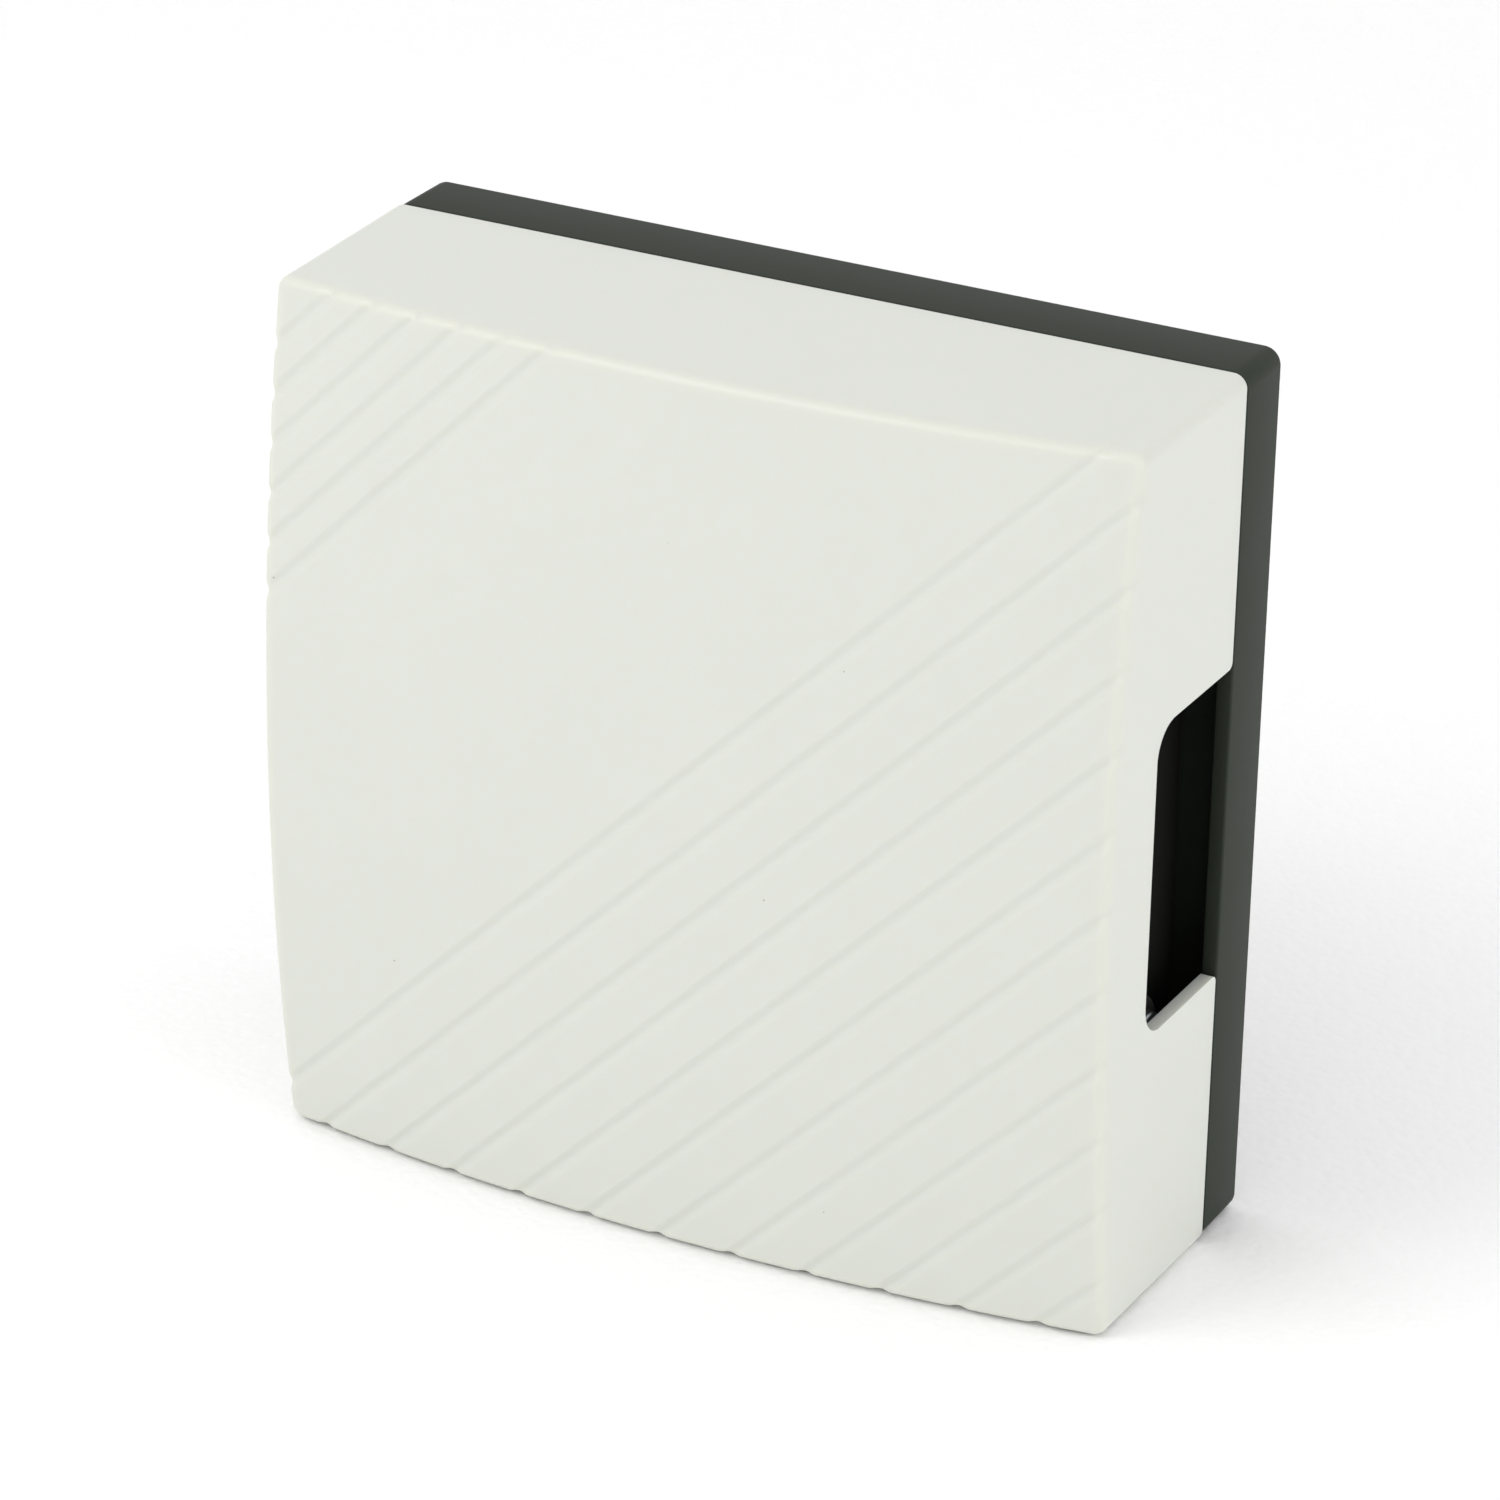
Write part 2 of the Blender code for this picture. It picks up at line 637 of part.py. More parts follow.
def back_openings():
    """Two keyholes for wall screws, and the cable entry."""
    cutters = []
    for side, name in ((-1, "left"), (1, "right")):
        x = side * KEYHOLE_X
        cutters.append(
            rod(f"keyhole_{name}", KEYHOLE_HEAD_RADIUS, (x, PAST, KEYHOLE_Z), 2 * PAST, "-Y")
        )
        half_slot = KEYHOLE_SLOT_WIDTH / 2
        cutters.append(
            rounded_block(
                f"keyhole_slot_{name}",
                (x - half_slot, -PAST, KEYHOLE_Z - half_slot),
                (x + half_slot, PAST, KEYHOLE_Z + KEYHOLE_SLOT_RISE),
                half_slot - FIT_GAP / 2,
                1,
            )
        )
    cutters.append(
        rounded_block(
            "cable_entry",
            (-CABLE_ENTRY_WIDTH / 2, -PAST, CABLE_ENTRY_Z - CABLE_ENTRY_HEIGHT / 2),
            (CABLE_ENTRY_WIDTH / 2, PAST, CABLE_ENTRY_Z + CABLE_ENTRY_HEIGHT / 2),
            CABLE_ENTRY_RADIUS,
            1,
        )
    )
    return cutters


def make_base():
    tray = place("base_tray", mesh_from("base_tray", rounded_tray_form()), GREY_ABS)
    inner = HALF - BASE_WALL
    cut(tray, block("tray_cavity", (-inner, SEAM_Y - PAST, -inner), (inner, FLOOR_Y, inner)))
    posts, post_holes = bar_posts()
    bosses, boss_holes = frame_bosses()
    pad, pad_hole = terminal_pad()
    join(tray, *cover_lugs(), *posts, *bosses, pad, *keyhole_pads())
    cut(tray, *post_holes, *boss_holes, pad_hole, *back_openings())
    return tray


# ---- Tone bars and what carries them ---------------------------------------------------------------


def grommet_profile():
    """A grooved grommet, from its inner flange at 0 to its outer flange."""
    neck = BAR_HOLE_RADIUS - FIT_GAP
    gap = BAR_THICKNESS + 2 * FIT_GAP
    total = 2 * GROMMET_FLANGE + gap
    soft = GROMMET_FLANGE / 3
    return [
        (GROMMET_BORE_RADIUS, total),
        (GROMMET_FLANGE_RADIUS - soft, total),
        (GROMMET_FLANGE_RADIUS, total - soft),
        (GROMMET_FLANGE_RADIUS, total - GROMMET_FLANGE),
        (neck, total - GROMMET_FLANGE),
        (neck, GROMMET_FLANGE),
        (GROMMET_FLANGE_RADIUS, GROMMET_FLANGE),
        (GROMMET_FLANGE_RADIUS, soft),
        (GROMMET_FLANGE_RADIUS - soft, 0),
        (GROMMET_BORE_RADIUS, 0),
    ]


def shoulder_screw_profile():
    """A domed head, a plain shoulder through the grommet, and a thread into the post."""
    shoulder = GROMMET_BORE_RADIUS - FIT_GAP
    under_head = 2 * GROMMET_FLANGE + BAR_THICKNESS + 4 * FIT_GAP
    thread_end = THREAD_RADIUS - POST_THICKNESS
    return [
        (0, under_head + BAR_SCREW_HEAD),
        (BAR_SCREW_HEAD_RADIUS * 0.6, under_head + BAR_SCREW_HEAD * 0.9),
        (BAR_SCREW_HEAD_RADIUS, under_head + BAR_SCREW_HEAD * 0.4),
        (BAR_SCREW_HEAD_RADIUS, under_head),
        (shoulder, under_head),
        (shoulder, FIT_GAP),
        (THREAD_RADIUS, FIT_GAP),
        (THREAD_RADIUS, thread_end + THREAD_RADIUS),
        (0, thread_end),
    ]


def slot_cutter(name, top, head_radius, head, axis):
    """A driver slot across the top of a screw head that faces along X or Y."""
    depth = SLOT_DEPTH_SHARE * head
    length = 2 * head_radius
    half = Vector((depth, length, SLOT_WIDTH / 2))
    if axis == "Y":
        half = Vector((length, depth, SLOT_WIDTH / 2))
    return block(name, Vector(top) - half, Vector(top) + half)


def make_bar(name, side, length):
    """A steel bar on edge, with a hole for a grommet at each still point."""
    faces = sorted((side * BAR_INNER_X, side * BAR_OUTER_X))
    bar = rounded_block(
        f"tone_bar_{name}",
        (faces[0], STRIKE_Y - BAR_WIDTH / 2, -length / 2),
        (faces[1], STRIKE_Y + BAR_WIDTH / 2, length / 2),
        BAR_THICKNESS / 2,
        0,
        BLACK_STEEL,
    )
    axis = "X" if side > 0 else "-X"
    for end, label in ((-1, "lower"), (1, "upper")):
        z = end * bar_node_z(length)
        hole = rod(
            f"bar_hole_{name}_{label}",
            BAR_HOLE_RADIUS,
            (side * (BAR_INNER_X - PAST), STRIKE_Y, z),
            BAR_THICKNESS + 2 * PAST,
            axis,
            steps=ROUND_STEPS,
        )
        cut(bar, hole)
        seat = (side * (POST_FACE_X + FIT_GAP), STRIKE_Y, z)
        turned(f"bar_grommet_{name}_{label}", grommet_profile(), seat, axis, RUBBER, steps=SMALL_STEPS)
        post_face = (side * POST_FACE_X, STRIKE_Y, z)
        screw = turned(
            f"bar_screw_{name}_{label}",
            shoulder_screw_profile(),
            post_face,
            axis,
            ZINC_STEEL,
            closed=False,
            steps=SMALL_STEPS,
        )
        top_x = POST_FACE_X + 2 * GROMMET_FLANGE + BAR_THICKNESS + 4 * FIT_GAP + BAR_SCREW_HEAD
        slot = slot_cutter(
            f"bar_screw_slot_{name}_{label}",
            (side * top_x, STRIKE_Y, z),
            BAR_SCREW_HEAD_RADIUS,
            BAR_SCREW_HEAD,
            "X",
        )
        cut(screw, slot)


# ---- Solenoid --------------------------------------------------------------------------------------


def make_frame():
    """A U of steel sheet: a web on the base's bosses, and two ends that hold the guide tube."""
    ear_end = FRAME_EAR_Z + FRAME_EAR_END
    end_front_y = STRIKE_Y - BOBBIN_FLANGE_RADIUS
    bm = bmesh.new()
    line = [
        bm.verts.new((-FRAME_OUTER_X, end_front_y, -ear_end)),
        bm.verts.new((-FRAME_OUTER_X, WEB_BACK_Y, -ear_end)),
        bm.verts.new((FRAME_OUTER_X, WEB_BACK_Y, -ear_end)),
        bm.verts.new((FRAME_OUTER_X, end_front_y, -ear_end)),
    ]
    edges = [bm.edges.new(pair) for pair in zip(line, line[1:])]
    raised = bmesh.ops.extrude_edge_only(bm, edges=edges)["geom"]
    tops = [item for item in raised if isinstance(item, bmesh.types.BMVert)]
    bmesh.ops.translate(bm, vec=(0, 0, 2 * ear_end), verts=tops)
    folds = [edge for edge in bm.edges if is_along(edge, 2) and len(edge.link_faces) == 2]
    bevel_edges(bm, folds, FRAME_BEND_RADIUS + FRAME_SHEET, 3)
    web = max(bm.faces, key=lambda face: face.calc_center_median().y)
    if web.normal.y < 0:
        bmesh.ops.reverse_faces(bm, faces=bm.faces)
    frame = place("solenoid_frame", mesh_from("solenoid_frame", bm), ZINC_STEEL)
    sheet = frame.modifiers.new("sheet", "SOLIDIFY")
    sheet.thickness = FRAME_SHEET
    sheet.offset = -1
    sheet.use_even_offset = True
    for end in (-1, 1):
        for side in (-1, 1):
            xs = sorted((side * FRAME_EAR_WIDTH / 2, side * (FRAME_OUTER_X + PAST)))
            zs = sorted((end * BOBBIN_FLANGE_RADIUS, end * (ear_end + PAST)))
            waste = block(
                f"frame_waste_{end}_{side}",
                (xs[0], end_front_y - PAST, zs[0]),
                (xs[1], WEB_BACK_Y + PAST, zs[1]),
            )
            cut(frame, waste)
        ear_hole = rod(
            f"frame_ear_hole_{end}",
            THREAD_RADIUS + 3 * FIT_GAP,
            (0, WEB_BACK_Y + PAST, end * FRAME_EAR_Z),
            FRAME_SHEET + 2 * PAST,
            "-Y",
        )
        cut(frame, ear_hole)
    for side, axis in ((-1, "-X"), (1, "X")):
        tube_hole = rod(
            f"frame_tube_hole_{axis}",
            TUBE_RADIUS + FIT_GAP,
            (side * (FRAME_END_X - PAST), STRIKE_Y, 0),
            FRAME_SHEET + 2 * PAST,
            axis,
            steps=ROUND_STEPS,
        )
        cut(frame, tube_hole)


def tube_profile(inner, outer, half_length):
    return [(inner, half_length), (outer, half_length), (outer, -half_length), (inner, -half_length)]


def bobbin_profile():
    barrel = BOBBIN_BORE_RADIUS + BOBBIN_WALL
    inside = BOBBIN_END_X - BOBBIN_FLANGE
    return [
        (BOBBIN_BORE_RADIUS, BOBBIN_END_X),
        (BOBBIN_FLANGE_RADIUS, BOBBIN_END_X),
        (BOBBIN_FLANGE_RADIUS, inside),
        (barrel, inside),
        (barrel, -inside),
        (BOBBIN_FLANGE_RADIUS, -inside),
        (BOBBIN_FLANGE_RADIUS, -BOBBIN_END_X),
        (BOBBIN_BORE_RADIUS, -BOBBIN_END_X),
    ]


def headed_screw_profile(head_radius, head, shank_radius, shank):
    """A pan head above 0 and a pointed shank below it."""
    return [
        (0, head),
        (head_radius * 0.75, head),
        (head_radius, head * 0.55),
        (head_radius, 0),
        (shank_radius, 0),
        (shank_radius, -shank + shank_radius),
        (0, -shank),
    ]


def make_headed_screw(name, where, head_radius, head, shank_radius, shank):
    """A slotted screw whose head faces the front. Its origin is under its head, on its axis."""
    profile = headed_screw_profile(head_radius, head, shank_radius, shank)
    screw = turned(name, profile, where, "-Y", ZINC_STEEL, closed=False, steps=SMALL_STEPS)
    top = Vector(where) - Vector((0, head, 0))
    cut(screw, slot_cutter(f"{name}_slot", top, head_radius, head, "Y"))


def make_solenoid():
    make_frame()
    centre = (0, STRIKE_Y, 0)
    tube = tube_profile(TUBE_BORE_RADIUS, TUBE_RADIUS, TUBE_LENGTH / 2)
    turned("guide_tube", tube, centre, "X", BRASS)
    turned("coil_bobbin", bobbin_profile(), centre, "X", NYLON, steps=FINE_STEPS)
    winding_bore = BOBBIN_BORE_RADIUS + BOBBIN_WALL + FIT_GAP
    winding = tube_profile(winding_bore, WINDING_RADIUS, WINDING_END_X)
    turned("coil_winding", winding, centre, "X", COPPER, steps=FINE_STEPS)
    tape = tube_profile(TAPE_RADIUS - TAPE_THICKNESS, TAPE_RADIUS, TAPE_LENGTH / 2)
    turned("coil_tape", tape, centre, "X", TAPE, steps=FINE_STEPS)
    for end, label in ((-1, "lower"), (1, "upper")):
        under_head = (0, WEB_FRONT_Y - FIT_GAP, end * FRAME_EAR_Z)
        shank = FRAME_SHEET + BASE_WALL + FIT_GAP
        make_headed_screw(
            f"solenoid_screw_{label}",
            under_head,
            FRAME_SCREW_HEAD_RADIUS,
            FRAME_SCREW_HEAD,
            THREAD_RADIUS,
            shank,
        )


# ---- Plunger ---------------------------------------------------------------------------------------


def core_profile():
    """A steel core with a seat for the spring's clip and a hole in each end. Heights are X."""
    hole = SPIGOT_RADIUS + FIT_GAP
    hole_depth = SPIGOT_LENGTH + FIT_GAP
    half_seat = CLIP_THICKNESS / 2 + FIT_GAP
    soft = CORE_RADIUS / 9
    return [
        (0, CORE_RIGHT_X - hole_depth),
        (hole, CORE_RIGHT_X - hole_depth),
        (hole, CORE_RIGHT_X),
        (CORE_RADIUS - soft, CORE_RIGHT_X),
        (CORE_RADIUS, CORE_RIGHT_X - soft),
        (CORE_RADIUS, CLIP_X + half_seat),
        (CLIP_SEAT_RADIUS, CLIP_X + half_seat),
        (CLIP_SEAT_RADIUS, CLIP_X - half_seat),
        (CORE_RADIUS, CLIP_X - half_seat),
        (CORE_RADIUS, CORE_LEFT_X + soft),
        (CORE_RADIUS - soft, CORE_LEFT_X),
        (hole, CORE_LEFT_X),
        (hole, CORE_LEFT_X + hole_depth),
        (0, CORE_LEFT_X + hole_depth),
    ]


def striker_profile(length):
    """A nylon rod from its shoulder at 0 to a round tip, with a spigot below 0 into the core."""
    dome = [
        (
            STRIKER_RADIUS * math.sin(math.radians(angle)),
            length - STRIKER_RADIUS * (1 - math.cos(math.radians(angle))),
        )
        for angle in range(0, 91, 30)
    ]
    return [
        *dome,
        (STRIKER_RADIUS, 0),
        (SPIGOT_RADIUS, 0),
        (SPIGOT_RADIUS, -SPIGOT_LENGTH),
        (0, -SPIGOT_LENGTH),
    ]


def spring_route():
    """Points along the return spring, from the clip to the frame's left end."""
    start = CLIP_X + CLIP_THICKNESS / 2 + FIT_GAP + SPRING_WIRE_RADIUS
    end = -FRAME_OUTER_X - FIT_GAP - SPRING_WIRE_RADIUS
    count = SPRING_TURNS * SPRING_STEPS
    route = []
    for i in range(count + 1):
        angle = 2 * math.pi * i / SPRING_STEPS
        x = start + (end - start) * i / count
        route.append((x, STRIKE_Y + SPRING_RADIUS * math.cos(angle), SPRING_RADIUS * math.sin(angle)))
    return route


def make_plunger():
    turned("plunger_core", core_profile(), (0, STRIKE_Y, 0), "X", ZINC_STEEL, closed=False)
    right_length = BAR_INNER_X - STRIKE_TRAVEL - CORE_RIGHT_X - FIT_GAP
    left_length = BAR_INNER_X - REBOUND_TRAVEL + CORE_LEFT_X - FIT_GAP
    turned(
        "striker_right",
        striker_profile(right_length),
        (CORE_RIGHT_X + FIT_GAP, STRIKE_Y, 0),
        "X",
        NYLON,
        closed=False,
        steps=SMALL_STEPS,
    )
    turned(
        "striker_left",
        striker_profile(left_length),
        (CORE_LEFT_X - FIT_GAP, STRIKE_Y, 0),
        "-X",
        NYLON,
        closed=False,
        steps=SMALL_STEPS,
    )
    clip_bore = CLIP_SEAT_RADIUS + FIT_GAP
    clip = turned(
        "spring_clip",
        tube_profile(clip_bore, CLIP_RADIUS, CLIP_THICKNESS / 2),
        (CLIP_X, STRIKE_Y, 0),
        "X",
        SPRING_STEEL,
    )
    mouth = block(
        "clip_mouth",
        (CLIP_X - PAST, STRIKE_Y - CLIP_RADIUS - PAST, -CLIP_MOUTH / 2),
        (CLIP_X + PAST, STRIKE_Y, CLIP_MOUTH / 2),
    )
    cut(clip, mouth)
    wire("return_spring", [spring_route()], SPRING_WIRE_RADIUS, SPRING_STEEL, 1)


# ---- Terminal block ----------------------------------------------------------------------------------


def make_terminal_block():
    half = TERMINAL_BODY / 2
    body = rounded_block(
        "terminal_block",
        (-half.x, BLOCK_FRONT_Y, TERMINAL_Z - half.z),
        (half.x, BLOCK_BACK_Y, TERMINAL_Z + half.z),
        TERMINAL_CORNER_RADIUS,
        1,
        PHENOLIC,
    )
    screw_hole = rod(
        "block_screw_hole",
        BLOCK_SCREW_RADIUS + FIT_GAP,
        (0, BLOCK_BACK_Y + PAST, TERMINAL_Z),
        TERMINAL_BODY.y + 2 * PAST,
        "-Y",
    )
    sunk_y = BLOCK_FRONT_Y + BLOCK_SCREW_HEAD + FIT_GAP
    head_hole = rod(
        "block_head_hole",
        BLOCK_SCREW_HEAD_RADIUS + FIT_GAP,
        (0, sunk_y, TERMINAL_Z),
        BLOCK_SCREW_HEAD + PAST,
        "-Y",
    )
    cut(body, screw_hole, head_hole)
    make_headed_screw(
        "terminal_block_screw",
        (0, sunk_y - FIT_GAP, TERMINAL_Z),
        BLOCK_SCREW_HEAD_RADIUS,
        BLOCK_SCREW_HEAD,
        BLOCK_SCREW_RADIUS,
        BURIED_Y - sunk_y - FIT_GAP,
    )
    for side, label in ((-1, "left"), (1, "right")):
        make_way(body, label, side * TERMINAL_PITCH / 2)


def make_way(body, label, x):
    """One way of the block: its channel, contact plate with a solder tag, clamp washer and screw."""
    half_z = TERMINAL_BODY.z / 2
    hole_radius = TERMINAL_SCREW_RADIUS + FIT_GAP
    channel = block(
        f"way_{label}",
        (x - WAY_WIDTH / 2, BLOCK_FRONT_Y - PAST, TERMINAL_Z - half_z - PAST),
        (x + WAY_WIDTH / 2, WAY_FLOOR_Y, TERMINAL_Z + half_z + PAST),
    )
    screw_end = WAY_FLOOR_Y + WELL_DEPTH
    well = rod(
        f"way_well_{label}", hole_radius, (x, screw_end, TERMINAL_Z), WAY_DEPTH + PAST, "-Y"
    )
    cut(body, channel, well)

    half_contact = WAY_WIDTH / 2 - FIT_GAP
    contact = block(
        f"contact_plate_{label}",
        (x - half_contact, CONTACT_Y - CONTACT_THICKNESS, TERMINAL_Z - half_z + FIT_GAP),
        (x + half_contact, CONTACT_Y, (TAG_LOW_Z + TAG_HIGH_Z) / 2),
        BRASS,
    )
    tag = block(
        f"solder_tag_{label}",
        (x - CONTACT_TAG_WIDTH / 2, CONTACT_Y - CONTACT_THICKNESS - CONTACT_TAG_RISE, TAG_LOW_Z),
        (x + CONTACT_TAG_WIDTH / 2, CONTACT_Y - CONTACT_THICKNESS / 2, TAG_HIGH_Z),
    )
    join(contact, tag)
    contact_hole = rod(
        f"contact_hole_{label}", hole_radius, (x, CONTACT_Y + PAST, TERMINAL_Z), 2 * PAST, "-Y"
    )
    cut(contact, contact_hole)

    clamp = block(
        f"clamp_washer_{label}",
        (x - CLAMP_SIDE / 2, CLAMP_Y - CLAMP_THICKNESS, TERMINAL_Z - CLAMP_SIDE / 2),
        (x + CLAMP_SIDE / 2, CLAMP_Y, TERMINAL_Z + CLAMP_SIDE / 2),
        ZINC_STEEL,
    )
    clamp_hole = rod(
        f"clamp_hole_{label}", hole_radius, (x, CLAMP_Y + PAST, TERMINAL_Z), 2 * PAST, "-Y"
    )
    cut(clamp, clamp_hole)
    under_head = CLAMP_Y - CLAMP_THICKNESS - FIT_GAP
    make_headed_screw(
        f"terminal_screw_{label}",
        (x, under_head, TERMINAL_Z),
        TERMINAL_HEAD_RADIUS,
        TERMINAL_HEAD,
        TERMINAL_SCREW_RADIUS,
        screw_end - under_head - FIT_GAP,
    )


# ---- Coil leads ----------------------------------------------------------------------------------------


def smooth_route(points, steps):
    """A Catmull-Rom curve through the points, with this many steps between each two."""
    points = [Vector(point) for point in points]
    padded = [2 * points[0] - points[1], *points, 2 * points[-1] - points[-2]]
    route = []
    for a, b, c, d in zip(padded, padded[1:], padded[2:], padded[3:]):
        for i in range(steps):
            t = i / steps
            route.append(
                (
                    2 * b
                    + (c - a) * t
                    + (2 * a - 5 * b + 4 * c - d) * t**2
                    + (3 * b - a - 3 * c + d) * t**3
                )
                / 2
            )
    return [*route, points[-1]]


def make_leads():
    """Each coil end runs down in sleeving to the solder tag of its contact plate."""
    leave_x = (TAPE_LENGTH / 2 + BOBBIN_END_X - BOBBIN_FLANGE) / 2
    leave_z = -WINDING_RADIUS - FIT_GAP - LEAD_RADIUS
    tag_z = TAG_HIGH_Z + FIT_GAP + LEAD_RADIUS
    tag_y = CONTACT_Y - CONTACT_THICKNESS - CONTACT_TAG_RISE * 0.7
    for side, label in ((-1, "left"), (1, "right")):
        middle_x = (leave_x + TERMINAL_PITCH / 2) / 2
        route = [
            (side * leave_x, STRIKE_Y, leave_z),
            (side * leave_x, STRIKE_Y + 0.5 * mm, leave_z - 3.0 * mm),
            (side * (middle_x + 1.5 * mm), STRIKE_Y + 3.0 * mm, (leave_z + tag_z) / 2),
            (side * middle_x, tag_y - 1.5 * mm, tag_z + 4.0 * mm),
            (side * TERMINAL_PITCH / 2, tag_y, tag_z),
        ]
        wire(f"coil_lead_{label}", [smooth_route(route, 4)], LEAD_RADIUS, SLEEVING, 1)


# ---- Assembly --------------------------------------------------------------------------------------------

make_cover()
make_base()
for bar_name, (bar_side, bar_length) in BARS.items():
    make_bar(bar_name, bar_side, bar_length)
make_solenoid()
make_plunger()
make_terminal_block()
make_leads()

for part in PARTS.objects:
    if part.type == "MESH" and part.data.polygons:
        part.data.shade_smooth()
        part.data.set_sharp_from_angle(angle=math.radians(35))
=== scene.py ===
"""Looks of a wired two-note door chime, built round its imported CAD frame.

The sections follow the chime as it is put together: base tray, solenoid, plunger, tone bars,
terminals and leads, then the cover. The floor, the light and the camera come last. All sizes are in
metres, in the frame's own axes: +Z is up, the front faces -Y, and the wall is at Y = 0.
"""

import math

import bmesh
import bpy
from mathutils import Matrix, Vector


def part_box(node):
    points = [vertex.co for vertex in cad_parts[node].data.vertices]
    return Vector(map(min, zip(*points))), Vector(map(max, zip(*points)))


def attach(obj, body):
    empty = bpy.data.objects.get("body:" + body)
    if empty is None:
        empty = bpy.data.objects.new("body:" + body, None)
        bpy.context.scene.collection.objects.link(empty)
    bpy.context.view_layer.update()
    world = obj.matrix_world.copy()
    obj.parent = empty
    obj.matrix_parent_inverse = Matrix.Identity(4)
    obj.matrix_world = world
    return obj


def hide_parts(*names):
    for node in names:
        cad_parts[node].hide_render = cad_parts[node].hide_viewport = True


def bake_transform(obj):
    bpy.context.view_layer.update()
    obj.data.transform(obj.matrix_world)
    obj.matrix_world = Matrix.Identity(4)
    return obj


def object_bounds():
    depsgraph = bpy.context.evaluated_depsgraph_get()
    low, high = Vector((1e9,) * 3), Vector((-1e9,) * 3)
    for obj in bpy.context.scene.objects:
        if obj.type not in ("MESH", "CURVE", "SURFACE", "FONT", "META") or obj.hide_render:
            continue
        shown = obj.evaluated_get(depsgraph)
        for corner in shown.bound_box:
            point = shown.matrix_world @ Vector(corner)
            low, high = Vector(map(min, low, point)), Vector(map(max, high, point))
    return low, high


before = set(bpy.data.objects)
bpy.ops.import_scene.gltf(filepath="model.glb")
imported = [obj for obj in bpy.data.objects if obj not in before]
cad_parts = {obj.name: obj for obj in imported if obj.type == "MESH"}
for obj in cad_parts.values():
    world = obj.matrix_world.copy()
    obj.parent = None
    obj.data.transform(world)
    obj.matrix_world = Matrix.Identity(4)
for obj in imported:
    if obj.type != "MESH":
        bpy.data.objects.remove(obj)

cad_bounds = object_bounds()
mm = 0.001

# ---- Base tray -----------------------------------------------------------------------------------
# The back half of the case is one dark grey ABS moulding: a shallow square tray with posts for the
# tone bars, bosses for the solenoid, a pad for the terminal block and four lugs that hold the cover.
# It screws to the wall through two keyholes, and the bell wire comes in through the slot at the foot.


def linear(hex_colour):
    """A colour given as sRGB hex, as the linear value that a shader takes."""
    channels = [int(hex_colour[i : i + 2], 16) / 255 for i in (1, 3, 5)]
    return (*(c / 12.92 if c <= 0.04045 else ((c + 0.055) / 1.055) ** 2.4 for c in channels), 1.0)


def add_node(tree, kind, inputs, **settings):
    """Adds a node with its settings. An input that is another node's socket is linked."""
    node = tree.nodes.new(kind)
    for key, value in settings.items():
        setattr(node, key, value)
    for key, value in inputs.items():
        if isinstance(value, bpy.types.NodeSocket):
            tree.links.new(value, node.inputs[key])
        else:
            node.inputs[key].default_value = value
    return node


def new_finish(name):
    """A material with a bare shader, and its own coordinates in millimetres for the patterns."""
    material = bpy.data.materials.new(name)
    material.use_nodes = True
    tree = material.node_tree
    shader = tree.nodes["Principled BSDF"]
    where = add_node(tree, "ShaderNodeTexCoord", {})
    scaled = add_node(
        tree, "ShaderNodeMapping", {"Vector": where.outputs["Object"], "Scale": (1000, 1000, 1000)}
    )
    return material, tree, shader, scaled.outputs["Vector"]


def adjust(material, settings):
    """Sets plain inputs of a material's shader, by name."""
    for key, value in settings.items():
        material.node_tree.nodes["Principled BSDF"].inputs[key].default_value = value


CLOUD_SIZE = 14  # millimetres from one slow change of tint and gloss to the next
WAVE_SIZE = 32  # millimetres from one slow wave of the skin to the next
WAVE_HEIGHT = 0.02 * mm


def grained_skin(name, colour, other_colour, roughness, grain, grain_height):
    """A moulded or coated skin with a fine grain, such as the spark-eroded grain of a mould.

    To the eye it is even from far off. Close to, the grain breaks up the highlights, and slow waves
    from uneven shrinkage bend the broad ones.
    """
    material, tree, shader, place = new_finish(name)
    grain_pattern = add_node(
        tree, "ShaderNodeTexNoise", {"Vector": place, "Scale": 1 / grain, "Detail": 2.0}
    )
    cloud = add_node(
        tree, "ShaderNodeTexNoise", {"Vector": place, "Scale": 1 / CLOUD_SIZE, "Detail": 3.0}
    )
    wave = add_node(
        tree, "ShaderNodeTexNoise", {"Vector": place, "Scale": 1 / WAVE_SIZE, "Detail": 0.0}
    )
    slow = add_node(
        tree,
        "ShaderNodeBump",
        {"Strength": 1.0, "Distance": WAVE_HEIGHT, "Height": wave.outputs["Fac"]},
    )
    skin = add_node(
        tree,
        "ShaderNodeBump",
        {
            "Strength": 1.0,
            "Distance": grain_height,
            "Height": grain_pattern.outputs["Fac"],
            "Normal": slow.outputs["Normal"],
        },
    )
    tint = add_node(
        tree,
        "ShaderNodeMix",
        {0: cloud.outputs["Fac"], 6: linear(colour), 7: linear(other_colour)},
        data_type="RGBA",
    )
    gloss = add_node(
        tree,
        "ShaderNodeMapRange",
        {"Value": cloud.outputs["Fac"], 3: roughness - 0.05, 4: roughness + 0.06},
    )
    tree.links.new(tint.outputs[2], shader.inputs["Base Color"])
    tree.links.new(gloss.outputs[0], shader.inputs["Roughness"])
    tree.links.new(skin.outputs["Normal"], shader.inputs["Normal"])
    adjust(material, {"IOR": 1.54})
    return material, tree, shader, place, tint.outputs[2]


# Dark grey ABS, with an olive cast. The grain is drawn at 0.5 mm, about twice the real one, to show.
GREY_ABS, *_ = grained_skin("moulded_grey_abs", "#272C25", "#2E332B", 0.55, 0.5, 0.006 * mm)
adjust(GREY_ABS, {"Specular IOR Level": 0.15})


